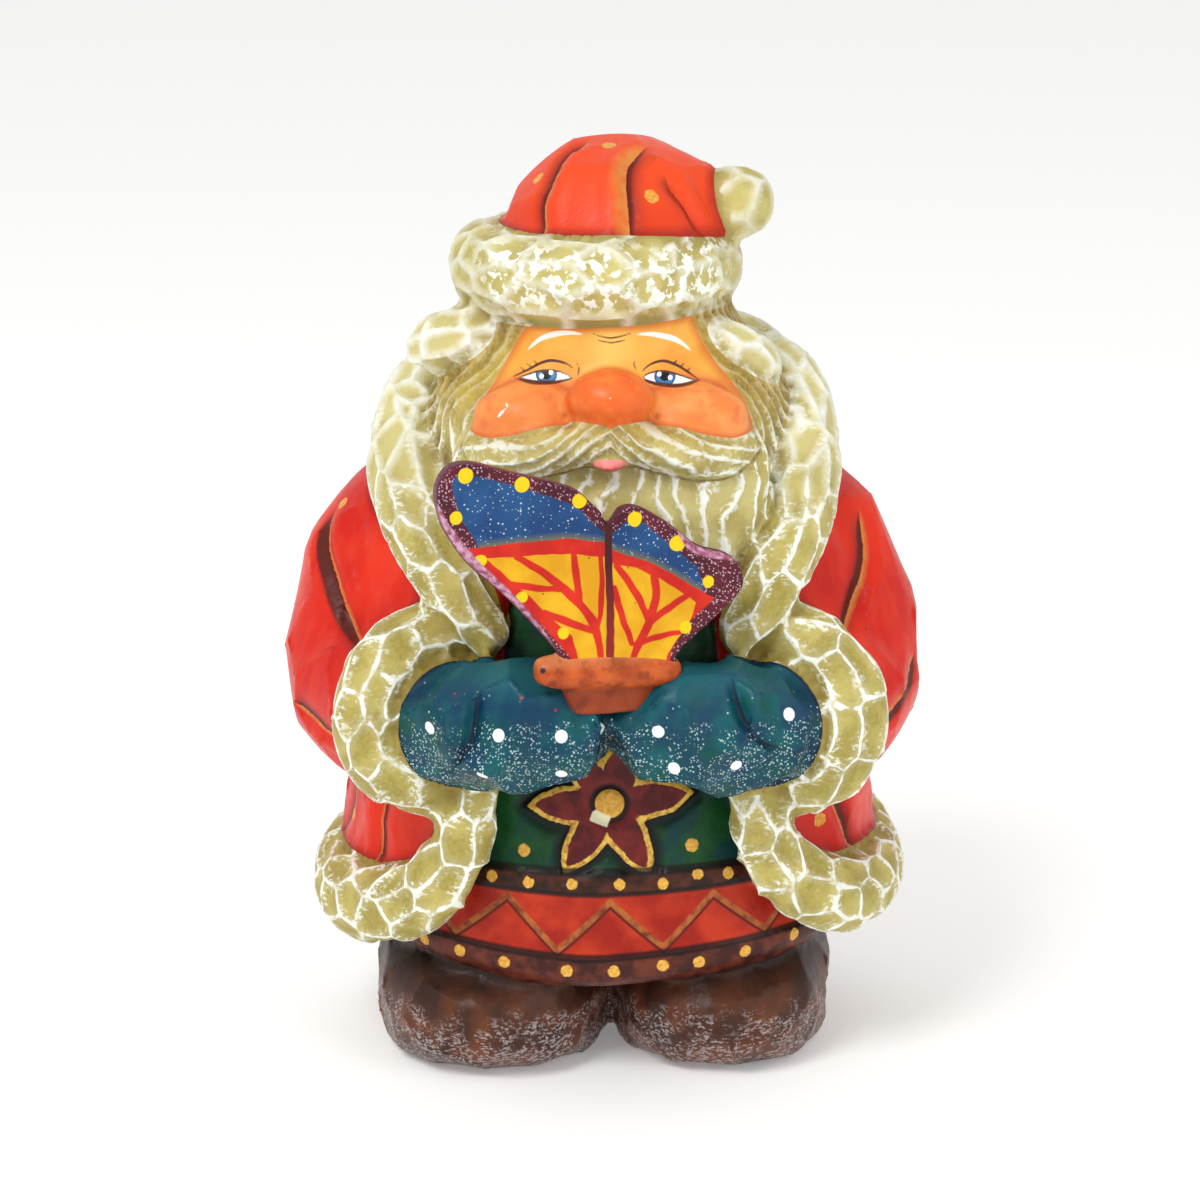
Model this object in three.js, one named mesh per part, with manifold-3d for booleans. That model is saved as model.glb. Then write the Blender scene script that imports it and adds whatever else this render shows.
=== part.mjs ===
// A carved and painted Santa figurine that holds a butterfly on its mittens.
// Millimetres, +Z up, the front of the figure faces -Y. The figure is carved from one block of wood; the
// butterfly is a second carving, glued on the mittens. Stations below are measured from the figure's own
// middle line, which AXIS puts where the origin is the middle of the footprint box.
import * as THREE from 'three';
import { mergeVertices } from 'three/addons/utils/BufferGeometryUtils.js';
import Module from 'manifold-3d';

const wasm = await Module();
wasm.setup();

// Driving dimensions
const AXIS = { x: 1.0, y: 7.3 };
const GLUE_GAP = 0.3;
const COLOURS = { coat: 0xd8402a, wing: 0xe0a81c };

// Horizontal slices of the standing forms: height z, half width w, front f and back b.
const BOOT_SLICES = [
  { z: 0, w: 0.82, f: -18.5, b: 14 },
  { z: 2, w: 0.93, f: -23.5, b: 17.5 },
  { z: 6, w: 0.98, f: -27.2, b: 20 },
  { z: 12, w: 1, f: -27.8, b: 21 },
  { z: 18, w: 0.96, f: -23.5, b: 21 },
];
const BOOTS = [
  { x: -16.4, w: 16.4, forward: 0 },
  { x: 15.4, w: 15.5, forward: 1.5 },
];
const TUNIC_SLICES = [
  { z: 13.4, w: 29, f: -24.8, b: 24.5 },
  { z: 14.8, w: 30.6, f: -26.8, b: 26 },
  { z: 18, w: 31.2, f: -27.2, b: 26.5 },
  { z: 29, w: 30.5, f: -26, b: 25.5 },
  { z: 45, w: 30, f: -24.5, b: 24 },
  { z: 60, w: 27, f: -24, b: 22 },
  { z: 73, w: 19, f: -21, b: 16 },
];
const COAT_SLICES = [
  { z: 20, w: 36.5, f: -24.5, b: 25.5 },
  { z: 28, w: 37.5, f: -26, b: 26.3 },
  { z: 38, w: 36.5, f: -26.5, b: 26 },
  { z: 50, w: 36.5, f: -27, b: 26.5 },
  { z: 62, w: 37.5, f: -25.5, b: 26.5 },
  { z: 72, w: 35, f: -22.5, b: 25 },
  { z: 80, w: 29.5, f: -18, b: 22 },
  { z: 86, w: 21, f: -12, b: 17 },
];
const HEAD_SLICES = [
  { z: 70, w: 13, f: -18, b: 12 },
  { z: 76, w: 20, f: -21.5, b: 14 },
  { z: 84, w: 24, f: -23.2, b: 16 },
  { z: 93, w: 24, f: -22.3, b: 17 },
  { z: 101, w: 21.5, f: -20, b: 16.5 },
  { z: 108, w: 18, f: -18, b: 15 },
  { z: 112, w: 14, f: -14, b: 12 },
];
const BEARD_SLICES = [
  { z: 66.5, w: 8, f: -25.6, b: -12 },
  { z: 70, w: 14.5, f: -28.2, b: -12 },
  { z: 75, w: 18.5, f: -29, b: -12 },
  { z: 81, w: 21, f: -28, b: -12 },
  { z: 87, w: 21.5, f: -25.6, b: -12 },
  { z: 92, w: 18, f: -22.3, b: -12 },
];

// The opening of the coat's front, an inverted V over the tunic, as half widths at heights.
const OPENING_DEPTH = 40;
const COAT_OPENING = [
  { z: 15, w: 31 },
  { z: 24, w: 26 },
  { z: 30, w: 21.5 },
  { z: 40, w: 17.5 },
  { z: 52, w: 16 },
  { z: 70, w: 14 },
  { z: 79, w: 8 },
];

// Rolls along a path: centre p, half size "out" away from the body and "side" along its surface.
const HEM_ROLL = [
  { p: [-17, -26.8, 47], out: 2.6, side: 3.6 },
  { p: [-19, -27.2, 39.5], out: 3.0, side: 4.6 },
  { p: [-21, -26.8, 33], out: 3.3, side: 5.0 },
  { p: [-25, -24.8, 27.3], out: 3.7, side: 5.2 },
  { p: [-31.5, -19.6, 23.6], out: 4.1, side: 5.5 },
  { p: [-36.6, -10.5, 22.8], out: 4.2, side: 5.6 },
  { p: [-37.6, 1, 23.8], out: 4.1, side: 5.4 },
  { p: [-33.8, 14, 24.3], out: 3.9, side: 5.2 },
  { p: [-21, 23.4, 24.3], out: 3.8, side: 5.0 },
  { p: [0, 26.4, 24.6], out: 3.8, side: 5.0 },
  { p: [21, 23.4, 25.4], out: 3.8, side: 5.0 },
  { p: [33.8, 14, 26.6], out: 3.9, side: 5.4 },
  { p: [37.4, 1, 25], out: 4.1, side: 5.5 },
  { p: [36.2, -10.5, 23.2], out: 4.2, side: 5.6 },
  { p: [31.5, -19.6, 23.8], out: 4.1, side: 5.5 },
  { p: [25.4, -24.8, 28], out: 3.7, side: 5.2 },
  { p: [21.4, -26.8, 34], out: 3.3, side: 5.0 },
  { p: [19.6, -27.2, 40.5], out: 3.0, side: 4.6 },
  { p: [17.6, -26.8, 47], out: 2.6, side: 3.6 },
];
const COLLAR_ROLL = [
  { p: [-14.6, -25, 61.8], out: 2.8, side: 2.4 },
  { p: [-19, -24.2, 67], out: 4.2, side: 3.4 },
  { p: [-23.4, -20.4, 73], out: 5.0, side: 4.4 },
  { p: [-27, -12, 79.5], out: 5.4, side: 5.4 },
  { p: [-28, -3, 85], out: 5.4, side: 5.8 },
  { p: [-25, 7, 90.5], out: 5.4, side: 6.6 },
  { p: [-15, 14.5, 94], out: 5.2, side: 7.6 },
  { p: [0, 17, 95], out: 5.2, side: 8.0 },
  { p: [15, 14.5, 94], out: 5.2, side: 7.6 },
  { p: [24, 7, 91], out: 5.4, side: 6.6 },
  { p: [26, -3, 86.5], out: 5.4, side: 5.8 },
  { p: [25.8, -12, 80.5], out: 5.4, side: 5.4 },
  { p: [23.2, -20.4, 73.5], out: 5.0, side: 4.4 },
  { p: [19.6, -24.2, 67], out: 4.2, side: 3.4 },
  { p: [15.6, -25, 61.8], out: 2.8, side: 2.4 },
];
const COLLAR_KNOB = { p: [-22.2, -6, 99], r: [6, 6.5, 5.2] };
const COLLAR_SHOULDER = { p: [19, -3, 97.5], r: [6.5, 8, 5.5] };
const SLEEVE_ROLL = [
  { p: [-20.5, 3, 79], out: 9, side: 9 },
  { p: [-28, 1, 70.5], out: 12, side: 12 },
  { p: [-32, -1, 60], out: 12.4, side: 12.4 },
  { p: [-32.4, -7, 52], out: 12.2, side: 12 },
  { p: [-28.5, -15.5, 51.3], out: 11.4, side: 11 },
  { p: [-24.6, -22.6, 52.2], out: 9.4, side: 9.4 },
];
const RIGHT_SLEEVE_TUCK = 2;
const CUFF = { p: [-24.4, -22.4, 52.4], radius: 9.2, along: 4.8, across: 5.2, axis: [0.55, -0.83, 0.06] };
const MITTEN_ROLL = [
  { p: [-24.2, -20, 52.4], out: 7.4, side: 7.6 },
  { p: [-20.8, -28, 52.6], out: 8.4, side: 9.0 },
  { p: [-13.5, -31.5, 52.8], out: 7.6, side: 8.8 },
  { p: [-5.5, -31.8, 53.2], out: 6.8, side: 7.8 },
  { p: [-0.2, -30.8, 53.6], out: 6.2, side: 7.0 },
];
const THUMB = { p: [-22, -29.4, 52.4], r: [5.2, 5.2, 7.6] };

// Rounded features of the head
const NOSE = { p: [0, -25.6, 94.8], r: [5.6, 5.2, 4.2] };
const CHEEK = { p: [-12.2, -20.2, 92.8], r: [7, 5.2, 4.6] };
const LIP = { p: [0, -26.6, 86.6], r: [2.2, 1.6, 1.2] };
const MOUSTACHE_ROLL = [
  { p: [-0.3, -27.3, 89.4], out: 2.4, side: 2.2 },
  { p: [-7, -27.2, 88.6], out: 2.8, side: 3.2 },
  { p: [-14.5, -24.6, 88.6], out: 2.5, side: 2.8 },
  { p: [-20.3, -18.6, 91.3], out: 1.3, side: 1.4 },
];
const HAT_BAND = { p: [-1.6, -1.6, 109.6], rx: 15.2, ry: 16.6, out: 4.9, side: 5.9 };
const HAT_CROWN = { p: [0.9, -1, 111], r: [16.2, 17.2, 16.5] };
const HAT_TIP_ROLL = [
  { p: [7, -2.4, 116.5], out: 9, side: 9.4 },
  { p: [11, -3, 116.5], out: 6.6, side: 7.4 },
  { p: [16, -3.8, 117.6], out: 3.9, side: 4.4 },
];
const POMPOM = { p: [18.6, -4.2, 119.1], r: [4.3, 4.3, 5.1] };

// The butterfly stands across the mittens, turned so that its left wing comes forward.
const BUTTERFLY = { p: [0, -36.8, 61.5], turn: 16, wing: 3 };
const WING_OUTLINE = [
  [-5, -0.4],
  [-6.6, 2.4],
  [-12.8, 9.7],
  [-18.9, 15.6],
  [-22.3, 20.6],
  [-23.4, 25.4],
  [-21.7, 28.5],
  [-18.4, 29],
  [-12.2, 27.2],
  [-5.4, 25],
  [-2.4, 22.6],
  [-0.3, 20.3],
  [1.3, 22],
  [4.2, 21.8],
  [8.9, 18.6],
  [11.6, 16.3],
  [15.8, 14.8],
  [17.8, 12.2],
  [16.7, 9.1],
  [9.4, 2.8],
  [7, -0.4],
];
const BODY_ROLL = [
  { p: [-10.2, 0, 1], out: 1.5, side: 1.5 },
  { p: [-7, 0, 0.6], out: 2.6, side: 2.3 },
  { p: [0, 0, 0.3], out: 2.9, side: 2.4 },
  { p: [6.5, 0, -0.2], out: 2.6, side: 2.2 },
  { p: [9.3, 0, -0.7], out: 1.6, side: 1.5 },
];
const FOOT_ASIDE = 0.5;
const FOOT_SLICES = [
  { z: -5.3, w: 5.4, f: -1.9, b: 2.6 },
  { z: -3.2, w: 6.4, f: -2.1, b: 2.8 },
  { z: -0.4, w: 7.6, f: -2.4, b: 2.8 },
];

/** A closed skin of rings: place(point, turn, ring) sets each point, and both end rings are single points. */
function closedSkin(around, rings, place) {
  const geometry = new THREE.SphereGeometry(1, around, rings);
  const { position, uv } = geometry.attributes;
  const point = new THREE.Vector3();
  for (let i = 0; i < position.count; i++) {
    const ring = Math.round((1 - uv.getY(i)) * rings);
    place(point, 2 * Math.PI * uv.getX(i), ring);
    position.setXYZ(i, point.x, point.y, point.z);
  }
  return geometry;
}

/** Turns a closed geometry into a solid with its faces outwards. */
function toSolid(geometry) {
  geometry.deleteAttribute('normal');
  geometry.deleteAttribute('uv');
  const merged = mergeVertices(geometry, 1e-4);
  const points = merged.attributes.position.array;
  const index = merged.index.array;
  const kept = [];
  for (let i = 0; i < index.length; i += 3) {
    const [a, b, c] = [index[i], index[i + 1], index[i + 2]];
    if (a !== b && b !== c && c !== a) kept.push(a, b, c);
  }
  const corner = [0, 1, 2].map(() => new THREE.Vector3());
  let volume = 0;
  for (let i = 0; i < kept.length; i += 3) {
    corner.forEach((v, k) => v.fromArray(points, 3 * kept[i + k]));
    volume += corner[0].dot(corner[1].clone().cross(corner[2]));
  }
  if (volume < 0) kept.reverse();
  const mesh = new wasm.Mesh({
    numProp: 3,
    vertProperties: Float32Array.from(points),
    triVerts: Uint32Array.from(kept),
  });
  return new wasm.Manifold(mesh);
}

const power = (value, exponent) => Math.sign(value) * Math.abs(value) ** exponent;

/** A standing form through horizontal slices, round-cornered where square is over 2. */
function standing(slices, { x = 0, y = 0, scale = 1, around = 32, square = 2.3 } = {}) {
  const rings = slices.length + 1;
  return toSolid(closedSkin(around, rings, (point, turn, ring) => {
    const slice = slices[THREE.MathUtils.clamp(ring - 1, 0, slices.length - 1)];
    const middle = (slice.f + slice.b) / 2;
    const pole = ring === 0 || ring === rings;
    const reach = pole ? 0 : 1;
    const cos = power(Math.cos(turn), 2 / square);
    const sin = power(Math.sin(turn), 2 / square);
    point.set(
      x + reach * scale * slice.w * cos,
      y + middle + (reach * (slice.b - slice.f) * sin) / 2,
      slice.z,
    );
  }));
}

/** An ellipsoid about p with half sizes r. */
function ball({ p, r }, around = 20, rings = 12) {
  const geometry = new THREE.SphereGeometry(1, around, rings);
  geometry.rotateX(Math.PI / 2);
  geometry.scale(...r);
  geometry.translate(...p);
  return toSolid(geometry);
}

const mirrored = (form) => ({ ...form, p: [-form.p[0], form.p[1], form.p[2]] });

/** A round-ended roll along a smooth path, whose "out" half size points away from centre. */
function roll(stations, { around = 14, steps = 12, centre = [0, 0], level = false } = {}) {
  const path = new THREE.CatmullRomCurve3(stations.map((s) => new THREE.Vector3(...s.p)));
  const size = new THREE.CatmullRomCurve3(stations.map((s) => new THREE.Vector3(s.out, s.side, 0)));
  const rings = steps + 4;
  const END_RINGS = [[0, 0], [0.15, 0.55], [0.5, 0.87]];
  const tangent = new THREE.Vector3();
  const out = new THREE.Vector3();
  const side = new THREE.Vector3();
  return toSolid(closedSkin(around, rings, (point, turn, ring) => {
    const fromEnd = Math.min(ring, rings - ring);
    const [step, reach] = fromEnd < 3 ? END_RINGS[fromEnd] : [fromEnd - 2, 1];
    const t = (ring <= rings / 2 ? step : steps - step) / steps;
    path.getPoint(t, point);
    path.getTangent(t, tangent);
    size.getPoint(t, side);
    const [halfOut, halfSide] = [side.x * reach, side.y * reach];
    out.set(point.x - centre[0], point.y - centre[1], 0);
    if (level) out.set(0, -1, 0);
    out.addScaledVector(tangent, -out.dot(tangent)).normalize();
    side.crossVectors(tangent, out);
    point.addScaledVector(out, halfOut * Math.cos(turn));
    point.addScaledVector(side, halfSide * Math.sin(turn));
  }));
}

/** A closed ring of elliptic section round an axis. */
function ringRoll({ p, rx, ry, out, side }, axis, segments) {
  const geometry = new THREE.TorusGeometry(1, 0.5, 10, segments);
  const { position } = geometry.attributes;
  for (let i = 0; i < position.count; i++) {
    const turn = Math.atan2(position.getY(i), position.getX(i));
    const reach = 2 * (Math.hypot(position.getX(i), position.getY(i)) - 1);
    position.setXYZ(
      i,
      (rx + out * reach) * Math.cos(turn),
      (ry + out * reach) * Math.sin(turn),
      2 * side * position.getZ(i),
    );
  }
  const lean = new THREE.Quaternion().setFromUnitVectors(
    new THREE.Vector3(0, 0, 1),
    new THREE.Vector3(...axis).normalize(),
  );
  geometry.applyQuaternion(lean);
  geometry.translate(...p);
  return toSolid(geometry);
}

/** The prism that opens the coat's front over the tunic. */
function coatOpening() {
  const shape = new THREE.Shape([
    ...COAT_OPENING.map(({ z, w }) => new THREE.Vector2(w, z)),
    ...COAT_OPENING.map(({ z, w }) => new THREE.Vector2(-w, z)).reverse(),
  ]);
  const geometry = new THREE.ExtrudeGeometry(shape, { depth: OPENING_DEPTH, bevelEnabled: false });
  geometry.rotateX(Math.PI / 2);
  return toSolid(geometry);
}

const bothSides = (stations) => [stations, stations.map(mirrored)];

/** Boots, tunic and coat with its fur hem. */
function clothes() {
  const boot = ({ x, w, forward }) => standing(BOOT_SLICES, { x, y: forward, scale: w, around: 20 });
  const forms = BOOTS.map(boot);
  forms.push(standing(TUNIC_SLICES, { around: 32, square: 2.15 }));
  forms.push(standing(COAT_SLICES, { around: 36 }).subtract(coatOpening()));
  forms.push(roll(HEM_ROLL, { steps: 36, around: 10 }));
  return forms;
}

/** Sleeves, fur cuffs and mittens. */
function arms() {
  const [left, right] = bothSides(SLEEVE_ROLL).map((stations) => roll(stations, { steps: 9, around: 16 }));
  const forms = [left, right.translate([-RIGHT_SLEEVE_TUCK, 0, 0])];
  for (const cuff of [CUFF, mirrored(CUFF)]) {
    const axis = [Math.sign(-cuff.p[0]) * Math.abs(CUFF.axis[0]), CUFF.axis[1], CUFF.axis[2]];
    const size = { p: cuff.p, rx: cuff.radius, ry: cuff.radius, out: cuff.across, side: cuff.along };
    forms.push(ringRoll(size, axis, 22));
  }
  for (const stations of bothSides(MITTEN_ROLL)) {
    forms.push(roll(stations, { steps: 9, around: 14, centre: [0, 10] }));
  }
  forms.push(ball(THUMB, 14, 8), ball(mirrored(THUMB), 14, 8));
  return forms;
}

/** Head, beard, fur collar and hat. */
function headAndHat() {
  const forms = [standing(HEAD_SLICES, { around: 24, square: 2.1 })];
  forms.push(standing(BEARD_SLICES, { around: 24, square: 2 }));
  forms.push(roll(COLLAR_ROLL, { steps: 30, around: 10 }));
  forms.push(ball(COLLAR_KNOB, 14, 8), ball(COLLAR_SHOULDER, 14, 8));
  forms.push(ball(NOSE, 14, 8), ball(LIP, 10, 6));
  forms.push(ball(CHEEK, 14, 8), ball(mirrored(CHEEK), 14, 8));
  for (const stations of bothSides(MOUSTACHE_ROLL)) forms.push(roll(stations, { steps: 8, around: 10 }));
  forms.push(ringRoll(HAT_BAND, [0, 0, 1], 32));
  forms.push(ball(HAT_CROWN, 24, 14));
  forms.push(roll(HAT_TIP_ROLL, { steps: 5, around: 12, level: true }));
  forms.push(ball(POMPOM, 12, 8));
  return forms;
}

/** The butterfly about its own middle: a flat pair of wings on a roll-shaped body with a tapered foot. */
function butterfly() {
  const edge = new THREE.CatmullRomCurve3(
    WING_OUTLINE.map(([u, w]) => new THREE.Vector3(u, w, 0)),
    true,
  );
  const corners = edge.getPoints(48).slice(0, -1);
  const shape = new THREE.Shape(corners.map(({ x, y }) => new THREE.Vector2(x, y)));
  const wings = new THREE.ExtrudeGeometry(shape, { depth: BUTTERFLY.wing, bevelEnabled: false });
  wings.translate(0, 0, -BUTTERFLY.wing / 2);
  wings.rotateX(Math.PI / 2);
  const forms = [toSolid(wings), roll(BODY_ROLL, { steps: 10, around: 12, level: true })];
  forms.push(standing(FOOT_SLICES, { x: FOOT_ASIDE, around: 20, square: 3 }));
  return join(forms).rotate([0, 0, BUTTERFLY.turn]).translate(BUTTERFLY.p);
}

/** The seat cut in the mittens under the butterfly, clear of it by the glue line. */
function butterflySeat() {
  const grown = FOOT_SLICES.map(({ z, w, f, b }) => ({
    z: z === FOOT_SLICES[0].z ? z - GLUE_GAP : z,
    w: w + GLUE_GAP,
    f: f - GLUE_GAP,
    b: b + GLUE_GAP,
  }));
  const body = BODY_ROLL.map(({ p, out, side }) => ({ p, out: out + GLUE_GAP, side: side + GLUE_GAP }));
  const foot = standing(grown, { x: FOOT_ASIDE, around: 20, square: 3 });
  const seat = foot.add(roll(body, { steps: 10, around: 12, level: true }));
  return seat.rotate([0, 0, BUTTERFLY.turn]).translate(BUTTERFLY.p);
}

function join(forms) {
  return forms.reduce((whole, form) => whole.add(form));
}

/** A named mesh of a solid, painted in one colour. */
function named(name, solid, colour, roughness) {
  const { numProp, vertProperties, triVerts } = solid.getMesh();
  const points = new Float32Array((vertProperties.length / numProp) * 3);
  for (let i = 0; i < points.length / 3; i++) {
    points.set(vertProperties.subarray(i * numProp, i * numProp + 3), 3 * i);
  }
  const geometry = new THREE.BufferGeometry();
  geometry.setAttribute('position', new THREE.BufferAttribute(points, 3));
  geometry.setIndex(new THREE.BufferAttribute(Uint32Array.from(triVerts), 1));
  const mesh = new THREE.Mesh(
    geometry,
    new THREE.MeshStandardMaterial({ color: colour, roughness, metalness: 0, flatShading: true }),
  );
  mesh.name = name;
  mesh.position.set(AXIS.x, AXIS.y, 0);
  return mesh;
}

const figure = join([...clothes(), ...arms(), ...headAndHat()]).subtract(butterflySeat());

const santa = new THREE.Group();
santa.add(named('santa_figure', figure, COLOURS.coat, 0.45));
santa.add(named('butterfly', butterfly(), COLOURS.wing, 0.4));

export default santa;
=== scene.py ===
import math

import bmesh
import bpy
import numpy as np
from mathutils import Matrix, Vector, noise
from mathutils.bvhtree import BVHTree
from mathutils.kdtree import KDTree


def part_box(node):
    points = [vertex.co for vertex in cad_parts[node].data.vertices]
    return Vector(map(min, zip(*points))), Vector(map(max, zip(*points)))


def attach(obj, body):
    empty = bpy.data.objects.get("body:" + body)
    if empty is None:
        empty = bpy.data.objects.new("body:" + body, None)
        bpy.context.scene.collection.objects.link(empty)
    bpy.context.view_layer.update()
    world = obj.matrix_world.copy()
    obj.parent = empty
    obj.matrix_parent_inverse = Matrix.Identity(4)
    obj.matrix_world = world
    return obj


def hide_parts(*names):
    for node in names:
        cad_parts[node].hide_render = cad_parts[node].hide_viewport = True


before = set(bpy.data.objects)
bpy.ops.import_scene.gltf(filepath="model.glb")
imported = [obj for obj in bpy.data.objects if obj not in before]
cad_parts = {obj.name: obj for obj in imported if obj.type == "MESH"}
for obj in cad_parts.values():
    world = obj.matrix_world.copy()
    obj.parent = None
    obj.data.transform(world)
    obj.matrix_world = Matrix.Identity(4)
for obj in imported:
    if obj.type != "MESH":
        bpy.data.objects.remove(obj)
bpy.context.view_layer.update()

# The view: the figure stands on a plain pale floor under soft studio light, seen from the front and
# from 14 degrees above. Lengths in this script are millimetres, and MM turns them to the frame's metres.
MM = 0.001
LEFT_SLEEVE_REACH = 44.84
HEM_BACK_REACH = 30.2
figure_low, figure_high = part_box("santa_figure")
AXIS = np.array([figure_low[0] / MM + LEFT_SLEEVE_REACH, figure_high[1] / MM - HEM_BACK_REACH, 0.0])
VIEW_RISE = math.radians(14)
VIEW_DISTANCE = 520
VIEW_WIDTH = 168
aim = Vector((AXIS[0] - 1.4, AXIS[1], 62)) * MM

camera_data = bpy.data.cameras.new("camera")
camera_data.sensor_width = 36
camera_data.lens = camera_data.sensor_width * VIEW_DISTANCE / VIEW_WIDTH
camera = bpy.data.objects.new("camera", camera_data)
camera.location = aim + Vector((0, -math.cos(VIEW_RISE), math.sin(VIEW_RISE))) * VIEW_DISTANCE * MM
camera.rotation_euler = (math.pi / 2 - VIEW_RISE, 0, 0)
bpy.context.scene.collection.objects.link(camera)
bpy.context.scene.camera = camera
bpy.context.scene.view_settings.view_transform = "Standard"


def lamp(name, place, size, power):
    data = bpy.data.lights.new(name, "AREA")
    data.shape = "DISK"
    data.size = size
    data.energy = power
    light = bpy.data.objects.new(name, data)
    light.location = place
    light.rotation_euler = (aim - Vector(place)).to_track_quat("-Z", "Y").to_euler()
    bpy.context.scene.collection.objects.link(light)


lamp("key", (-0.4, -0.65, 0.85), 0.45, 5.4)
lamp("fill", (0.7, -0.6, 0.45), 0.6, 1.3)

world = bpy.data.worlds.new("studio")
world.use_nodes = True
world.node_tree.nodes["Background"].inputs["Color"].default_value = (1, 1, 1, 1)
world.node_tree.nodes["Background"].inputs["Strength"].default_value = 0.74
bpy.context.scene.world = world



def in_scene(name, form):
    """Turns a worked form into an object of the scene."""
    mesh = bpy.data.meshes.new(name)
    form.to_mesh(mesh)
    form.free()
    made = bpy.data.objects.new(name, mesh)
    bpy.context.scene.collection.objects.link(made)
    return made


floor_form = bmesh.new()
bmesh.ops.create_grid(floor_form, x_segments=1, y_segments=1, size=30)
floor = in_scene("floor", floor_form)
floor_paint = bpy.data.materials.new("floor")
floor_paint.use_nodes = True
floor_shader = floor_paint.node_tree.nodes["Principled BSDF"]
floor_shader.inputs["Base Color"].default_value = (0.94, 0.94, 0.93, 1)
floor_shader.inputs["Roughness"].default_value = 0.8
floor_shader.inputs["Emission Color"].default_value = (1, 1, 1, 1)
floor_shader.inputs["Emission Strength"].default_value = 0.18
floor.data.materials.append(floor_paint)

# The boots: two round-toed leather boots under the hem, whittled from the foot of the block and flat
# below. The helpers that rough out every form of the block are here too.
forms = {}


def skin(around, rings, place):
    """A closed form of rings from pole to pole: place(ring, turn) gives each point."""
    form = bmesh.new()
    bmesh.ops.create_uvsphere(form, u_segments=around, v_segments=rings, radius=1)
    for v in form.verts:
        ring = round(math.acos(max(-1.0, min(1.0, v.co.z))) / math.pi * rings)
        v.co = place(ring, math.atan2(v.co.y, v.co.x))
    bmesh.ops.remove_doubles(form, verts=form.verts, dist=1e-5)
    bmesh.ops.recalc_face_normals(form, faces=form.faces)
    return form


def along(stations, t):
    """The smooth value at t, from 0 to 1, through evenly spaced stations."""
    last = len(stations) - 1
    i = min(int(t * last), last - 1)
    f = t * last - i
    a, b, c, d = (stations[min(max(k, 0), last)] for k in (i - 1, i, i + 1, i + 2))
    return b + f * (c - a) / 2 + f * f * (a - 2.5 * b + 2 * c - d / 2) + f**3 * (1.5 * (b - c) + (d - a) / 2)


def power(value, exponent):
    return math.copysign(abs(value) ** exponent, value)


def standing(slices, x=0.0, y=0.0, scale=1.0, square=2.3, around=64):
    """A standing form through slices of height, half width, front and back. Square rounds its corners."""
    slices = np.array(slices, float)
    steps = 4 * (len(slices) - 1)

    def place(ring, turn):
        height, wide, front, back = along(slices, min(max(ring - 1, 0), steps) / steps)
        reach = 0 if ring in (0, steps + 2) else 1
        across = reach * scale * wide * power(math.cos(turn), 2 / square)
        deep = (front + back) / 2 + reach * (back - front) / 2 * power(math.sin(turn), 2 / square)
        return x + across, y + deep, height

    return skin(around, steps + 2, place)


def ball(p, r):
    form = bmesh.new()
    bmesh.ops.create_uvsphere(form, u_segments=32, v_segments=20, radius=1)
    bmesh.ops.scale(form, vec=r, verts=form.verts)
    bmesh.ops.translate(form, vec=p, verts=form.verts)
    return form


def mirrored(stations):
    return [(-s[0], *s[1:]) for s in stations]


def rough_out(kind, *parts):
    forms.setdefault(kind, []).extend(parts)


BOOT_SLICES = [
    (0, 0.88, -19, 14.5),
    (2, 0.97, -24, 18),
    (6, 0.985, -27, 20),
    (11, 1.0, -27.0, 20.5),
    (15, 0.97, -23.0, 20.5),
    (18, 0.9, -18.5, 20),
]
rough_out("boots", standing(BOOT_SLICES, x=-16.4, scale=16.4))
rough_out("boots", standing(BOOT_SLICES, x=15.4, y=1.5, scale=15.5))

# The tunic: a straight green and red skirt of carved cloth that shows through the open coat. It is cut in one
# with the block, and its hem stands out a little over the boots.
TUNIC_SLICES = [
    (14.0, 31.4, -24.8, 24.5),
    (15.4, 32.8, -26.8, 26.0),
    (18, 33.0, -27.2, 26.5),
    (29, 31.5, -26.0, 25.5),
    (45, 30.0, -24.5, 24.0),
    (60, 27.0, -24.0, 22.0),
    (73, 19.0, -21.0, 16.0),
]


def hem_lift(x, z):
    """How far the tunic's bands are lifted at each side of their lowest place, less and less up the cloth."""
    return 0.12 * (np.hypot(x + 3, 3) - 3) * np.clip((38 - z) / 22, 0, 1)


tunic = standing(TUNIC_SLICES, square=2.3)
for v in tunic.verts:
    v.co.z += hem_lift(v.co.x, v.co.z)
rough_out("tunic", tunic)

# The coat: a red bell with two thick sleeves, cut in one with the block. It hangs from the shoulders and
# opens in front as an inverted V over the tunic.
COAT_SLICES = [
    (20, 36.5, -24.5, 25.5),
    (28, 37.5, -26.0, 26.3),
    (38, 36.5, -26.5, 26.0),
    (50, 36.5, -27.0, 26.5),
    (62, 37.5, -25.5, 26.5),
    (72, 35.0, -22.5, 25.0),
    (80, 29.5, -18.0, 22.0),
    (86, 21.0, -12.0, 17.0),
]
COAT_OPENING = [(10, 33), (24, 26), (30, 21.5), (40, 17.5), (52, 16), (70, 14), (79, 8)]
SLEEVE = [
    (-20.5, 3, 79, 9, 9),
    (-28, 1, 70.5, 12, 12),
    (-32, -1, 60, 12.4, 12.4),
    (-32.4, -7, 52, 12.2, 12),
    (-28.5, -15.5, 51.3, 11.4, 11),
    (-24.6, -22.6, 52.2, 9.4, 9.4),
]
OTHER_SLEEVE_TUCK = 2
OPENING_DEPTH = 60
STRIDE = 0.004


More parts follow.
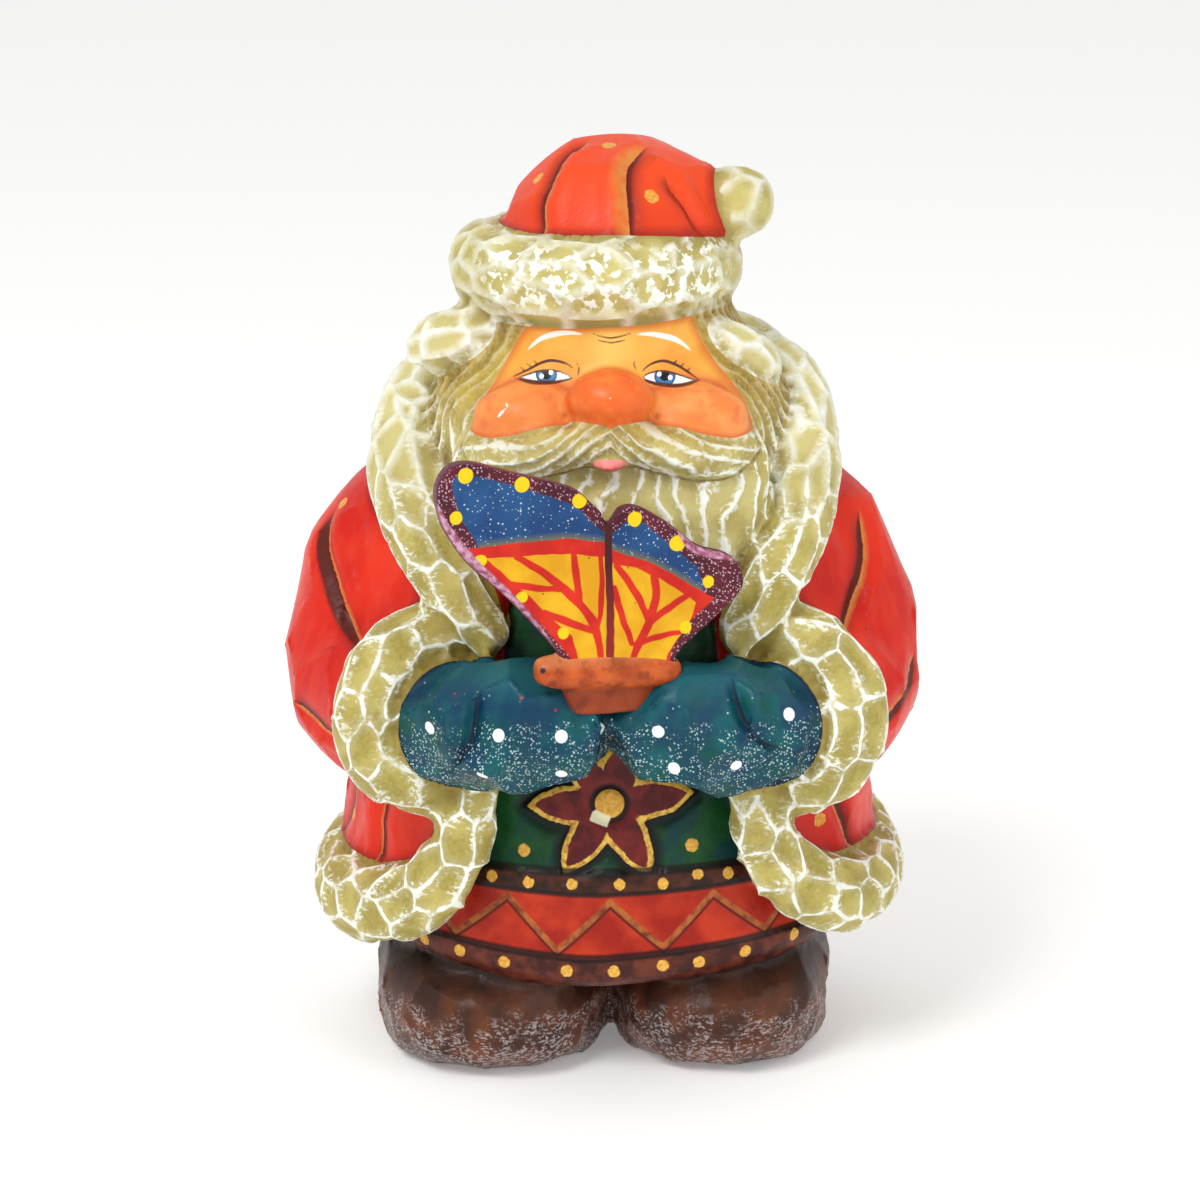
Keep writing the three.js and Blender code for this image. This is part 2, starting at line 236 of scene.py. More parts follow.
def roll(stations, around=24, steps=40, centre=(0, 0), level=False):
    """A round-ended roll through stations of x, y, z, half thickness away from centre, half width."""
    stations = np.array(stations, float)
    ends = [(0, 0), (0.12, 0.45), (0.4, 0.72), (0.85, 0.9)]
    rings = steps + 4

    def place(ring, turn):
        from_end = min(ring, rings - ring)
        step, reach = ends[from_end] if from_end < 4 else (from_end - 2, 1)
        t = (step if ring <= rings / 2 else steps - step) / steps
        x, y, z, out_half, side_half = along(stations, t)
        before, after = (Vector(along(stations, min(max(t + step, 0), 1))[:3]) for step in (-STRIDE, STRIDE))
        ahead = (after - before).normalized()
        out = Vector((0, -1, 0)) if level else Vector((x - centre[0], y - centre[1], 0))
        out = (out - ahead * out.dot(ahead)).normalized()
        side = ahead.cross(out)
        swell = out * out_half * reach * math.cos(turn) + side * side_half * reach * math.sin(turn)
        return Vector((x, y, z)) + swell

    return skin(around, rings, place)


def plate(corners, front, thick):
    """A flat plate: an outline of x and z on its front face, pulled back by its thickness."""
    form = bmesh.new()
    face = form.faces.new([form.verts.new((x, front, z)) for x, z in corners])
    pulled = bmesh.ops.extrude_face_region(form, geom=[face])["geom"]
    back_corners = [made for made in pulled if isinstance(made, bmesh.types.BMVert)]
    bmesh.ops.translate(form, vec=(0, thick, 0), verts=back_corners)
    bmesh.ops.recalc_face_normals(form, faces=form.faces)
    return form


def opened(form, outline):
    """Cuts the front of a form back along half widths at heights, as a boolean with a thick plate."""
    corners = [(w, z) for z, w in outline] + [(-w, z) for z, w in reversed(outline)]
    opening = in_scene("opening", plate(corners, -OPENING_DEPTH, OPENING_DEPTH))
    closed = in_scene("opened", form)
    cut = closed.modifiers.new("cut", "BOOLEAN")
    cut.object = opening
    cut.solver = "EXACT"
    result = bmesh.new()
    result.from_object(closed, bpy.context.evaluated_depsgraph_get())
    for spent in (opening, closed):
        bpy.data.objects.remove(spent)
    return result


other_sleeve = roll(mirrored(SLEEVE))
bmesh.ops.translate(other_sleeve, vec=(-OTHER_SLEEVE_TUCK, 0, 0), verts=other_sleeve.verts)
rough_out("coat", opened(standing(COAT_SLICES, around=72), COAT_OPENING), roll(SLEEVE), other_sleeve)

# The fur: thick rolls of trim along the hem and up both fronts, round the neck as a collar, at the wrists
# and round the hat, with the hat's pompom. All of it is scooped with a gouge, like scales with thin ridges.
HEM_FUR = [
    (-17, -26.8, 47, 2.6, 3.6),
    (-19, -27.2, 39.5, 3.0, 4.6),
    (-21, -26.8, 33, 3.3, 5.0),
    (-25, -24.8, 27.3, 3.7, 5.2),
    (-31.5, -19.6, 23.6, 4.1, 5.5),
    (-36.6, -10.5, 22.8, 4.2, 5.6),
    (-37.6, 1, 23.8, 4.1, 5.4),
    (-33.8, 14, 24.3, 3.9, 5.2),
    (-21, 23.4, 24.3, 3.8, 5.0),
    (0, 26.4, 24.6, 3.8, 5.0),
    (21, 23.4, 25.4, 3.8, 5.0),
    (33.8, 14, 26.6, 3.9, 5.4),
    (37.4, 1, 25, 4.1, 5.5),
    (36.2, -10.5, 24.8, 4.2, 5.5),
    (31.5, -19.6, 25.2, 4.1, 5.4),
    (25.4, -24.8, 29.2, 3.7, 5.2),
    (21.4, -26.8, 34, 3.3, 5.0),
    (19.6, -27.2, 40.5, 3.0, 4.6),
    (17.6, -26.8, 47, 2.6, 3.6),
]
COLLAR_FUR = [
    (-14.6, -25, 61.8, 2.8, 2.4),
    (-19, -24.2, 67, 4.2, 3.4),
    (-23.4, -20.4, 73, 5.0, 4.4),
    (-27, -12, 79.5, 5.4, 5.4),
    (-28, -3, 85, 5.4, 5.8),
    (-25, 7, 90.5, 5.4, 6.6),
    (-15, 14.5, 94, 5.2, 7.6),
    (0, 17, 95, 5.2, 8.0),
    (15, 14.5, 94, 5.2, 7.6),
    (24, 7, 91, 5.4, 6.6),
    (26, -3, 86.5, 5.4, 5.8),
    (25.8, -12, 80.5, 5.4, 5.4),
    (23.2, -20.4, 73.5, 5.0, 4.4),
    (19.6, -24.2, 67, 4.2, 3.4),
    (15.6, -25, 61.8, 2.8, 2.4),
]
COLLAR_ENDS = [
    [(-13.8, -9.5, 101.4, 1.4, 1.4), (-17, -9.2, 101.4, 3.6, 3.2), (-21, -8, 100.8, 4.7, 3.9),
     (-24.4, -6, 98.8, 3.9, 3.6), (-26.4, -4, 96.4, 1.6, 1.6)],
    [(9.8, -12, 102.4, 1.5, 1.4), (12.8, -11.5, 101.4, 3.4, 2.8), (16.4, -10.4, 99.5, 4.3, 3.5),
     (19.6, -8, 96.8, 4.0, 3.6), (21.6, -5.5, 94, 1.8, 1.8)],
]
CUFFS = [((side * 24.4, -22.4, 52.4), (-side * 0.55, -0.83, 0.06)) for side in (-1, 1)]
CUFF_SIZE = (9.2, 9.2, 5.3, 5.0)
HAT_BAND_PLACE = (-2.0, -1.6, 109.8)
HAT_BAND_SIZE = (15.2, 16.6, 4.9, 5.7)
POMPOM = ((17.3, -4.2, 118.5), (4.9, 4.7, 5.2))


def ring_roll(place, axis, size, around=24, segments=72):
    """A closed ring. Its size: two half sizes of the middle line, half thickness, half width on the axis."""
    wide, deep, out_half, side_half = size
    form = bmesh.new()
    section = bmesh.ops.create_circle(form, segments=around, radius=1)["verts"]
    for v in section:
        v.co = (v.co.x * 0.5 + 1, 0, v.co.y * 0.5)
    bmesh.ops.spin(form, geom=form.verts[:] + form.edges[:], cent=(0, 0, 0), axis=(0, 0, 1),
                   angle=2 * math.pi, steps=segments, use_merge=True)
    bmesh.ops.remove_doubles(form, verts=form.verts, dist=1e-4)
    lean = Vector((0, 0, 1)).rotation_difference(Vector(axis))
    for v in form.verts:
        turn = math.atan2(v.co.y, v.co.x)
        reach = 2 * (math.hypot(v.co.x, v.co.y) - 1)
        point = Vector(((wide + out_half * reach) * math.cos(turn),
                        (deep + out_half * reach) * math.sin(turn), 2 * side_half * v.co.z))
        v.co = lean @ point + Vector(place)
    bmesh.ops.recalc_face_normals(form, faces=form.faces)
    return form


rough_out("fur", roll(HEM_FUR, steps=150), roll(COLLAR_FUR, steps=110))
rough_out("fur", *(roll(end, steps=16) for end in COLLAR_ENDS))
rough_out("fur", *(ring_roll(place, axis, CUFF_SIZE) for place, axis in CUFFS))
rough_out("fur", ring_roll(HAT_BAND_PLACE, (0, 0, 1), HAT_BAND_SIZE), ball(*POMPOM))

# The mittens: two thick mittens with their thumbs, cut in one with the block. They meet in front of the body,
# and the butterfly is glued on top of them.
MITTEN = [
    (-24.0, -20, 51.8, 7.0, 6.8),
    (-20.4, -28, 51.8, 7.8, 7.9),
    (-13.5, -31.5, 52.8, 7.6, 8.8),
    (-6.5, -31.9, 53.3, 6.9, 7.8),
    (-0.4, -31.0, 55.0, 5.4, 4.6),
]
THUMBS = [((side * 21.2, -29.8, 51.2), (4.8, 5.2, 6.6)) for side in (-1, 1)]
rough_out("mittens", roll(MITTEN, centre=(0, 10)), roll(mirrored(MITTEN), centre=(0, 10)))
rough_out("mittens", *(ball(*thumb) for thumb in THUMBS))

# The head: a broad round head with hair and a full beard, a big round nose over round cheeks, and a
# moustache in two swept halves. It is carved in one with the block, like everything above.
HEAD_SLICES = [
    (70, 13.0, -18.0, 12.0),
    (76, 20.0, -21.5, 14.0),
    (84, 24.0, -23.2, 16.0),
    (93, 24.0, -22.3, 17.0),
    (101, 18.6, -20.0, 16.0),
    (108, 14.5, -18.0, 13.0),
    (112, 14.0, -14.0, 12.0),
]
BEARD_SLICES = [
    (66.5, 8.0, -25.6, -12),
    (70, 14.5, -28.2, -12),
    (75, 18.5, -29.0, -12),
    (81, 21.0, -28.0, -12),
    (87, 21.5, -25.6, -12),
    (92, 18.0, -22.3, -12),
]
MOUSTACHE = [
    (-0.3, -27.6, 90.9, 2.5, 2.2),
    (-7, -27.5, 89.2, 2.8, 2.6),
    (-14.5, -25.0, 87.6, 2.4, 2.1),
    (-19.2, -20.2, 88.9, 0.9, 0.9),
]
NOSE = ((0, -25.4, 95.7), (5.8, 5.3, 3.8))
CHEEKS = [((side * 10.8, -20.6, 92.2), (7.7, 5.1, 4.5)) for side in (-1, 1)]
LIP = ((-0.1, -28.9, 87.1), (2.2, 1.7, 0.85))
rough_out("head", standing(HEAD_SLICES, square=2.1))
rough_out("beard", standing(BEARD_SLICES, square=2))
rough_out("moustache", roll(MOUSTACHE), roll(mirrored(MOUSTACHE)))
rough_out("face", ball(*NOSE), *(ball(*cheek) for cheek in CHEEKS))
rough_out("lip", ball(*LIP))

# The hat: a soft round cap of red cloth, cut in one with the block. It flops over to one side, down to the
# pompom.
HAT_CROWN = ((0.9, -1, 111), (16.2, 17.2, 16.5))
HAT_TIP = [
    (7.6, -2.4, 116.8, 9.3, 9.6),
    (11.4, -3, 117, 7.1, 7.8),
    (16, -3.8, 117.6, 3.9, 4.4),
]
rough_out("hat", ball(*HAT_CROWN), roll(HAT_TIP, level=True))

# The block: all those forms are one piece of wood, so they are joined here as one skin. The face, the beard,
# the flower, the dots and the mittens' creases get a finer skin, because the finest work is there.
GRAIN = 0.98
FAR = 12.0


def joined(parts):
    whole = bmesh.new()
    for part in parts:
        mesh = bpy.data.meshes.new("part")
        part.to_mesh(mesh)
        whole.from_mesh(mesh)
        bpy.data.meshes.remove(mesh)
    return whole


def one_skin(whole, grain, passes=2):
    """Turns overlapping forms into one even skin of small faces, and rubs it down a little."""
    rough = in_scene("rough", whole)
    remesh = rough.modifiers.new("one_skin", "REMESH")
    remesh.mode = "VOXEL"
    remesh.voxel_size = grain
    even = bmesh.new()
    even.from_object(rough, bpy.context.evaluated_depsgraph_get())
    bpy.data.objects.remove(rough)
    for _ in range(passes):
        bmesh.ops.smooth_vert(even, verts=even.verts, factor=0.5, use_axis_x=True, use_axis_y=True,
                              use_axis_z=True)
    return even


def refine(form, low, high):
    """Cuts the faces in a box in four, for finer work there."""
    boxed = [f for f in form.faces if all(a < c < b for a, c, b in zip(low, f.calc_center_median(), high))]
    edges = list(dict.fromkeys(e for f in boxed for e in f.edges))
    bmesh.ops.subdivide_edges(form, edges=edges, cuts=1, use_grid_fill=True)


def blend_in(value, low, high):
    """Rises smoothly from 0 at low to 1 at high."""
    t = np.clip((value - low) / (high - low), 0, 1)
    return t * t * (3 - 2 * t)


def reach_of(parts, points):
    """How far each point is from the surface of some forms."""
    tree = BVHTree.FromBMesh(joined(parts))
    reached = [tree.find_nearest(p, FAR)[3] for p in points]
    return np.array([FAR if d is None else d for d in reached])


def places(form):
    return np.array([v.co for v in form.verts])


# the dots, each with its radius: gold on the cloth and belts, white on the mittens
GOLD_DOTS = [
    (-9.9, -6.2, 122.2, 0.9), (-0.2, -6, 126.7, 1.0), (5.5, -13.9, 120.8, 1.0), (8, 6, 123.5, 0.9),
    (-6, 11, 121, 0.9), (-37.3, -3.7, 77, 0.9), (-35.9, -7.9, 33.4, 0.95), (28.7, -18.3, 35.5, 0.95),
    (-11.9, -25.4, 33.2, 0.85), (11.3, -25.6, 34, 0.9), (-14.2, -25, 55.2, 0.95),
    (-8, 26, 72, 1.0), (8.5, 26, 62, 1.0), (-9, 26, 50, 1.0), (8, 26, 38, 1.0), (-25, 20, 58, 1.0),
    (26, 20, 48, 1.0), (-26, 20, 38, 1.0), (25, 18, 72, 1.0), (-38, 8, 70, 1.0), (37, 8, 62, 1.0),
]
BELT_DOTS = [-21, -15.8, -11.0, -5.2, 1.2, 7.1, 11.7, 15.8, 21]
HEM_DOTS = [-29, -25, -20, -14.1, -5.9, 0.4, 7, 12, 18, 24.8, 29]
for across, front, height, radius in ((BELT_DOTS, -26.5, 28.8, 0.78), (HEM_DOTS, -27.5, 16.7, 0.85)):
    GOLD_DOTS += [(x, front + x * x / 75, height + hem_lift(x, height), radius) for x in across]
WHITE_DOTS = [
    (-24, -36, 53.5, 0.85), (-14.7, -38.9, 53.4, 0.85), (-6.5, -38.7, 53.2, 0.85), (-1, -37.6, 54, 0.8),
    (6.2, -38.7, 53.8, 0.85), (24, -35.5, 55.4, 0.85), (-16.6, -37.6, 48.3, 0.8), (-6.5, -36.9, 47.7, 0.8),
    (8.3, -38, 48.8, 0.85), (16.7, -37.8, 48.7, 0.8),
]

carving = one_skin(joined(f for parts in forms.values() for f in parts), GRAIN)
FINE_FACE = ((-22, -40, 76), (22, -15, 104.5))
FINE_EYES = ((-14, -27, 95.8), (13, -13, 104.9))
FINE_FLOWER = ((-12.5, -32, 29.5), (12.5, -20, 50))
FINE_CREASES = [((-24, -42, 47), (-15, -30, 62)), ((14, -42, 48), (25, -30, 62))]
ROUND_DOT = Vector((1.2, 1.2, 1.2))
for low, high in (FINE_FACE, FINE_EYES, FINE_FLOWER):
    refine(carving, low, high)
for _ in range(2):
    points = places(carving)
    for dot in GOLD_DOTS + WHITE_DOTS:
        middle = Vector(points[((points - dot[:3]) ** 2).sum(1).argmin()])
        refine(carving, middle - ROUND_DOT, middle + ROUND_DOT)
for low, high in FINE_CREASES:
    refine(carving, low, high)

# The gouge work: the fur is scooped along its rolls in cells a few millimetres across, and the hair, beard
# and moustache in long strands. Thin ridges are left standing between the cuts.


def centre_line(stations, steps=60):
    stations = np.array(stations, float)
    return np.array([along(stations, i / steps)[:3] for i in range(steps + 1)])


def circle_line(place, axis, wide, deep):
    lean = Vector((0, 0, 1)).rotation_difference(Vector(axis))
    ring = [Vector((wide * math.cos(t), deep * math.sin(t), 0)) for t in np.linspace(0, 2 * math.pi, 61)]
    return np.array([lean @ point + Vector(place) for point in ring])


# each run of fur: its middle line, and how wide and how long its cells are
FUR_RUNS = [
    (centre_line(HEM_FUR, 160), 4.2, 5.8),
    (centre_line(COLLAR_FUR, 120), 3.5, 8.2),
    (circle_line(*CUFFS[0], *CUFF_SIZE[:2]), 4.0, 7.4),
    (circle_line(*CUFFS[1], *CUFF_SIZE[:2]), 4.0, 7.4),
    (circle_line(HAT_BAND_PLACE, (0, 0, 1), *HAT_BAND_SIZE[:2]), 4.4, 7.5),
    (np.array(POMPOM[0]) + np.array([[0, -1, 0.5], [0, 0, 0], [0, 1, -0.5]]), 4.6, 4.6),
    (centre_line(COLLAR_ENDS[0], 20), 3.2, 5.5),
    (centre_line(COLLAR_ENDS[1], 20), 3.2, 5.5),
]


def fur_flow(points):
    """The direction, cell width and cell length of the gouge cuts at each point of the fur."""
    lines = np.concatenate([line for line, _, _ in FUR_RUNS])
    ways = np.concatenate([np.gradient(line, axis=0) for line, _, _ in FUR_RUNS])
    wide = np.concatenate([np.full(len(line), w) for line, w, _ in FUR_RUNS])
    long = np.concatenate([np.full(len(line), s) for line, _, s in FUR_RUNS])
    tree = KDTree(len(lines))
    for i, p in enumerate(lines):
        tree.insert(p, i)
    tree.balance()
    nearest = [tree.find(p)[1] for p in points]
    return ways[nearest] / np.linalg.norm(ways[nearest], axis=1)[:, None], wide[nearest], long[nearest]


# the noise that bends the locks and cells is seeded, because it would differ from run to run
noise.seed_set(5)


def wandering(points, size, amount):
    return np.array([noise.noise_vector(Vector(p) / size) for p in points]) * amount


HAIR_LOCKS = 56
LOCK_SWEEP = 0.46
MOUSTACHE_LOCK = 2.0
MOUSTACHE_SLOPE = 0.95
MOUSTACHE_BEND = 0.021
TO_OTHER_HALF = 100
FIRST_LOCK = 500


def combed(rows, spacing, points):
    """Locks between even rows: each point's lock and its distance to the lock's edge."""
    rows = rows + wandering(points, 8, 1.0)[:, 0] + wandering(points, 2.5, 0.22)[:, 0]
    part = rows - np.floor(rows)
    return np.floor(rows).astype(int) + FIRST_LOCK, np.minimum(part, 1 - part) * spacing


def hair_locks(points):
    """Locks sweep out from under the hat round the cheeks, and draw together down the beard."""
    x, y, z = points.T
    turn = np.arctan2(np.abs(x), -y) + LOCK_SWEEP * blend_in(z, 90, 106)
    rows = np.sign(x) * turn * HAIR_LOCKS / (2 * math.pi)
    return combed(rows, 2 * math.pi * np.hypot(x, y) / HAIR_LOCKS, points)


def moustache_locks(points):
    """Locks sweep down and out from under the nose, and turn up a little at the tips."""
    x, y, z = points.T
    rows = (z + MOUSTACHE_SLOPE * np.abs(x) - MOUSTACHE_BEND * x * x) / MOUSTACHE_LOCK
    return combed(rows + TO_OTHER_HALF * (x > 0), MOUSTACHE_LOCK, points)


PER_MM = 4
MOST_TRIED = 9000
CLOSEST = 0.72
AT_ONCE = 2000


def sow(points, flow):
    """Picks the middles of the cells: scattered points, none within another's cell."""
    order = np.argsort([noise.cell(Vector(p) * PER_MM) for p in points], kind="stable")[:MOST_TRIED]
    way, wide, long = flow
    kept = []
    for i in order:
        if kept:
            step = points[kept] - points[i]
            run = step @ way[i]
            if np.min(((step**2).sum(1) - run**2) / wide[i] ** 2 + run**2 / long[i] ** 2) < CLOSEST:
                continue
        kept.append(i)
    return points[kept]


def cells(points, flow, seeds):
    """Each point's cell, its distance to the cell's edge, and its distance to the cell's middle."""
    number = np.zeros(len(points), int)
    edge = np.zeros(len(points))
    middle = np.zeros(len(points))
    for start in range(0, len(points), AT_ONCE):
        part = slice(start, start + AT_ONCE)
        p = points[part]
        way, wide, long = (f[part] for f in flow)
        step = seeds[None] - p[:, None]
        run = np.einsum("psk,pk->ps", step, way)
        square = ((step**2).sum(2) - run**2) / wide[:, None] ** 2 + run**2 / long[:, None] ** 2
        rows = np.arange(len(p))
        first = square.argmin(1)
        near_square = square[rows, first].copy()
        square[rows, first] = np.inf
        second = square.argmin(1)
        between = seeds[second] - seeds[first]
        run = (between * way).sum(1)
        across = np.sqrt(np.maximum((between**2).sum(1) - run**2, 1e-9)) / wide
        run = run / long
        span = np.hypot(across, run)
        steepness = np.hypot(across / span / wide, run / span / long)
        number[part] = first
        edge[part] = (square[rows, second] - near_square) / (2 * span) / steepness
        middle[part] = np.linalg.norm(p - seeds[first], axis=1)
    return number, edge, middle


KINDS = {
    "boots": ["boots"],
    "tunic": ["tunic"],
    "coat": ["coat", "hat"],
    "fur": ["fur"],
    "mittens": ["mittens"],
    "hair": ["head", "beard"],
    "moustache": ["moustache"],
    "cheeks": ["face"],
    "lip": ["lip"],
}
LIP_EDGE = 0.8
FACE_OUTLINE = [
    (-9.6, 106), (-12.4, 101.8), (-13.9, 99), (-15.4, 96.3), (-17, 94), (-18.2, 91), (-17.8, 88.6),
    (0, 90), (18.7, 88.6), (19, 90.8), (17.9, 93.6), (16.2, 96.2), (14.3, 98.4), (12.3, 101.4), (10.4, 106),
]


def inside(points, outline):
    """Signed distance of flat points from a closed outline: positive inside."""
    outline = np.array(outline, float)
    best = np.full(len(points), 1e9)
    turns = np.zeros(len(points))
    for a, b in zip(outline, np.roll(outline, -1, axis=0)):
        side = b - a
        t = np.clip(((points - a) @ side) / max(side @ side, 1e-9), 0, 1)
        best = np.minimum(best, np.linalg.norm(points - a - t[:, None] * side, axis=1))
        u, v = a - points, b - points
        turns += np.arctan2(u[:, 0] * v[:, 1] - u[:, 1] * v[:, 0], (u * v).sum(1))
    return np.where(np.abs(turns) > math.pi, best, -best)


def kind_of(points):
    """For each kind of surface, how far each point lies inside its border: positive on it."""
    reach = {}
    for kind, names in KINDS.items():
        reach[kind] = reach_of([form for name in names for form in forms[name]], points)
    reach["lip"] = np.where(reach["lip"] < LIP_EDGE, reach["lip"], FAR)
    lead = {}
    for kind in KINDS:
        others = np.min([reach[k] for k in KINDS if k != kind], axis=0)
        lead[kind] = others - reach[kind]
    face = inside(points[:, [0, 2]], FACE_OUTLINE)
    face = np.where(points[:, 1] < -10, face, -FAR)
    lead["skin"] = np.maximum(np.minimum(lead["hair"], face), lead["cheeks"])
    lead["hair"] = np.maximum(np.minimum(lead["hair"], -face), lead["moustache"])
    return lead


def flat_cut(width):
    """The flow for broad knife cuts, a little longer upwards than across."""
    return lambda points: (np.tile([0.0, 0.0, 1.0], (len(points), 1)), np.full(len(points), width),
                           np.full(len(points), 1.3 * width))


KNIFE_CUTS = {"boots": 6.5, "coat": 9.0, "mittens": 7.5}
CUT_KINDS = [("fur", fur_flow), ("hair", hair_locks), ("moustache", moustache_locks)]
CUT_KINDS += [(kind, flat_cut(width)) for kind, width in KNIFE_CUTS.items()]
CELLS_PER_KIND = 10000
UNCUT = 9.0


def gouge(points, lead, sown):
    """Every cut on the block: its number, and each point's distance to the cut's edge and to its middle."""
    number = np.full(len(points), -1)
    edge = np.full(len(points), UNCUT)
    middle = np.zeros(len(points))
    for order, (kind, flow_of) in enumerate(CUT_KINDS):
        on = lead[kind] > -0.6
        if kind == "hair":
            on &= lead["moustache"] < 0
        p = points[on]
        flow = flow_of(p)
        if kind in ("hair", "moustache"):
            number[on], edge[on] = flow[0] + CELLS_PER_KIND * order, flow[1]
            continue
        if kind == "fur":
            p = p + wandering(p, 9, 0.9) + wandering(p, 3, 0.3)
        if kind not in sown:
            sown[kind] = sow(p, flow)
        cut_number, edge[on], middle[on] = cells(p, flow, sown[kind])
        number[on] = cut_number + CELLS_PER_KIND * order
    return number, edge, middle


points = places(carving)
lead = kind_of(points)
sown = {}
number, edge, _ = gouge(points, lead, sown)
carving.verts.index_update()
ridge_cuts = {}
for e in carving.edges:
    a, b = (v.index for v in e.verts)
    if number[a] != number[b] and number[a] // CELLS_PER_KIND == number[b] // CELLS_PER_KIND:
        ridge_cuts[e] = min(max(edge[a] / (edge[a] + edge[b] + 1e-6), 0.1), 0.9)
bmesh.ops.subdivide_edges(carving, edges=list(ridge_cuts), cuts=1, edge_percents=ridge_cuts)
points = places(carving)
lead = kind_of(points)
number, edge, middle = gouge(points, lead, sown)


def outward(form):
    form.normal_update()
    return np.array([v.normal for v in form.verts])


def hump(distance, wide):
    """A round ridge's height, from 1 on its line to nearly 0 at twice its width."""
    return np.exp(-((distance / wide) ** 2))


def push(form, normals, amount):
    for v, n, a in zip(form.verts, normals, amount):
        v.co += Vector(n) * float(a)


FUR_SCOOP = (1.9, 0.74)
HAIR_SCOOP = (1.25, 0.5)
POMPOM_DEPTH = 0.42
RIDGE = 0.15
in_fur = number < CELLS_PER_KIND
scooped = (number >= 0) & (number < 3 * CELLS_PER_KIND)
half_cell = np.where(in_fur, FUR_SCOOP[0], HAIR_SCOOP[0])
depth = np.where(in_fur, FUR_SCOOP[1], HAIR_SCOOP[1])
on_pompom = in_fur & (points[:, 2] > 113.5) & (points[:, 0] > 12)
depth = np.where(on_pompom, POMPOM_DEPTH, depth)
dish = 1 - (1 - np.clip(edge / half_cell, 0, 1)) ** 2
fade = blend_in(np.maximum(lead["fur"], lead["hair"]), 0, 0.8)
cut = np.where(scooped, (RIDGE - depth * dish) * fade, 0)

# The knife work: broad flat cuts on the boots, coat, hat and mittens, and valleys where the cloth folds.
# Each fold is a stroke of points x, y, z down the cloth; then how deep it is cut, how wide it is painted dark
# and how far the painted shade beside it fades out, on which side, and how wide the gold beside it is.
FOLDS = [
    ([(-2.3, -2.9, 127), (-4.5, -4.9, 126), (-6.5, -5.9, 124.8), (-8.3, -10.1, 121.2), (-9.3, -12, 118.3),
      (-9.1, -17.5, 113)], 0.8, 0.45, 2.4, 1, 0.8),
    ([(5.6, -4.4, 126.4), (2.7, -10.1, 124.8), (2.2, -13.1, 122.5), (2.4, -15.3, 119.8), (2.7, -19.4, 113)],
     0.9, 0.55, 3.4, -1, 2.4),
    ([(7.2, -10.2, 123.2), (8.6, -11.5, 121), (10.4, -12, 118.8), (12.6, -12, 114)], 0.9, 0.01, 3.2, 1, 0.01),
    ([(2, 2, 127.3), (6, 8, 124.5), (9, 12.5, 119.5), (9.5, 15.5, 113)], 0.7, 0.5, 2.6, 1, 1.2),
    ([(-3, 2, 127), (-7.5, 7, 124), (-10.5, 10.5, 119.5), (-11.5, 13, 113)], 0.7, 0.5, 2.6, 1, 1.2),
    ([(-37.2, -2.5, 76.5), (-39, -5.4, 71.6), (-38, -9, 67.9), (-36.2, -12.1, 64), (-33.2, -17, 58.6)],
     0.8, 1.9, 2.6, 1, 0.35),
    ([(-43.3, -12.3, 50.9), (-40.2, -18, 49.4), (-35.5, -23, 47)], 0.6, 0.6, 2.6, -1, 0.3),
    ([(34.4, -5.4, 76.9), (35.3, -8.4, 71.2), (33.8, -11.6, 66.3), (31, -16.4, 60.5)], 0.8, 1.2, 3.6, 1, 0.6),
    ([(42.4, -8.0, 57), (40.6, -14.2, 52.8), (36.6, -21, 49)], 0.6, 0.9, 1.8, -1, 0.6),
    ([(-31.2, -16, 42), (-31.4, -15.4, 34), (-31.8, -15.4, 28)], 0.7, 0.6, 2.4, -1, 0.25),
    ([(-36.6, -8.6, 42), (-37.2, -7, 35), (-37.6, -4, 29)], 0.4, 0.3, 1.6, 1, 0.25),
    ([(28.9, -19, 42.5), (30.6, -17, 38.5), (32.3, -15, 33.5), (33.2, -14.2, 28)], 0.7, 0.7, 2.8, -1, 0.3),
    ([(0, 25, 84), (0.5, 26.4, 68), (-0.5, 26.4, 50), (0, 25.6, 27)], 0.7, 0.8, 2.6, 1, 0.7),
    ([(-13, 24, 80), (-16.5, 25.4, 66), (-17, 25, 48), (-16, 24, 27)], 0.6, 0.7, 2.4, -1, 0.6),
    ([(13, 24, 80), (16.5, 25.4, 66), (17.5, 25, 48), (17, 24, 27)], 0.6, 0.7, 2.4, 1, 0.6),
    ([(-27, 13, 80), (-34, 12, 72), (-39, 9, 62), (-40, 4, 52)], 0.6, 0.8, 2.4, -1, 0.5),
    ([(25, 13, 80), (32, 12, 72), (37, 9, 62), (38, 4, 52)], 0.6, 0.8, 2.4, 1, 0.5),
]


STROKE_REACH = (2.8, 3.8)


def beside(points, normals, stroke, round_off=0.25):
    """How far points lie to one side of a stroke, how far from it, and a weight that fades around it."""
    stroke = np.array(stroke, float)
    fine = np.array([along(stroke, t) for t in np.linspace(0, 1, 6 * len(stroke))])
    best = np.full(len(points), FAR)
    side = np.full(len(points), FAR)
    place = np.zeros(len(points))
    for i, (a, b) in enumerate(zip(fine[:-1], fine[1:])):
        way = b - a
        t = np.clip((points - a) @ way / (way @ way), 0, 1)
        gap = points - a - t[:, None] * way
        d = np.linalg.norm(gap, axis=1)
        nearer = d < best
        across = np.cross(way, normals)
        across = (across * gap).sum(1) / np.maximum(np.linalg.norm(across, axis=1), 1e-9)
        best = np.where(nearer, d, best)
        side = np.where(nearer, across, side)
        place = np.where(nearer, (i + t) / (len(fine) - 1), place)
    weight = blend_in(place, 0, round_off) * (1 - 0.6 * blend_in(place, 1 - round_off, 1))
    return side, best, weight * (1 - blend_in(best, *STROKE_REACH))


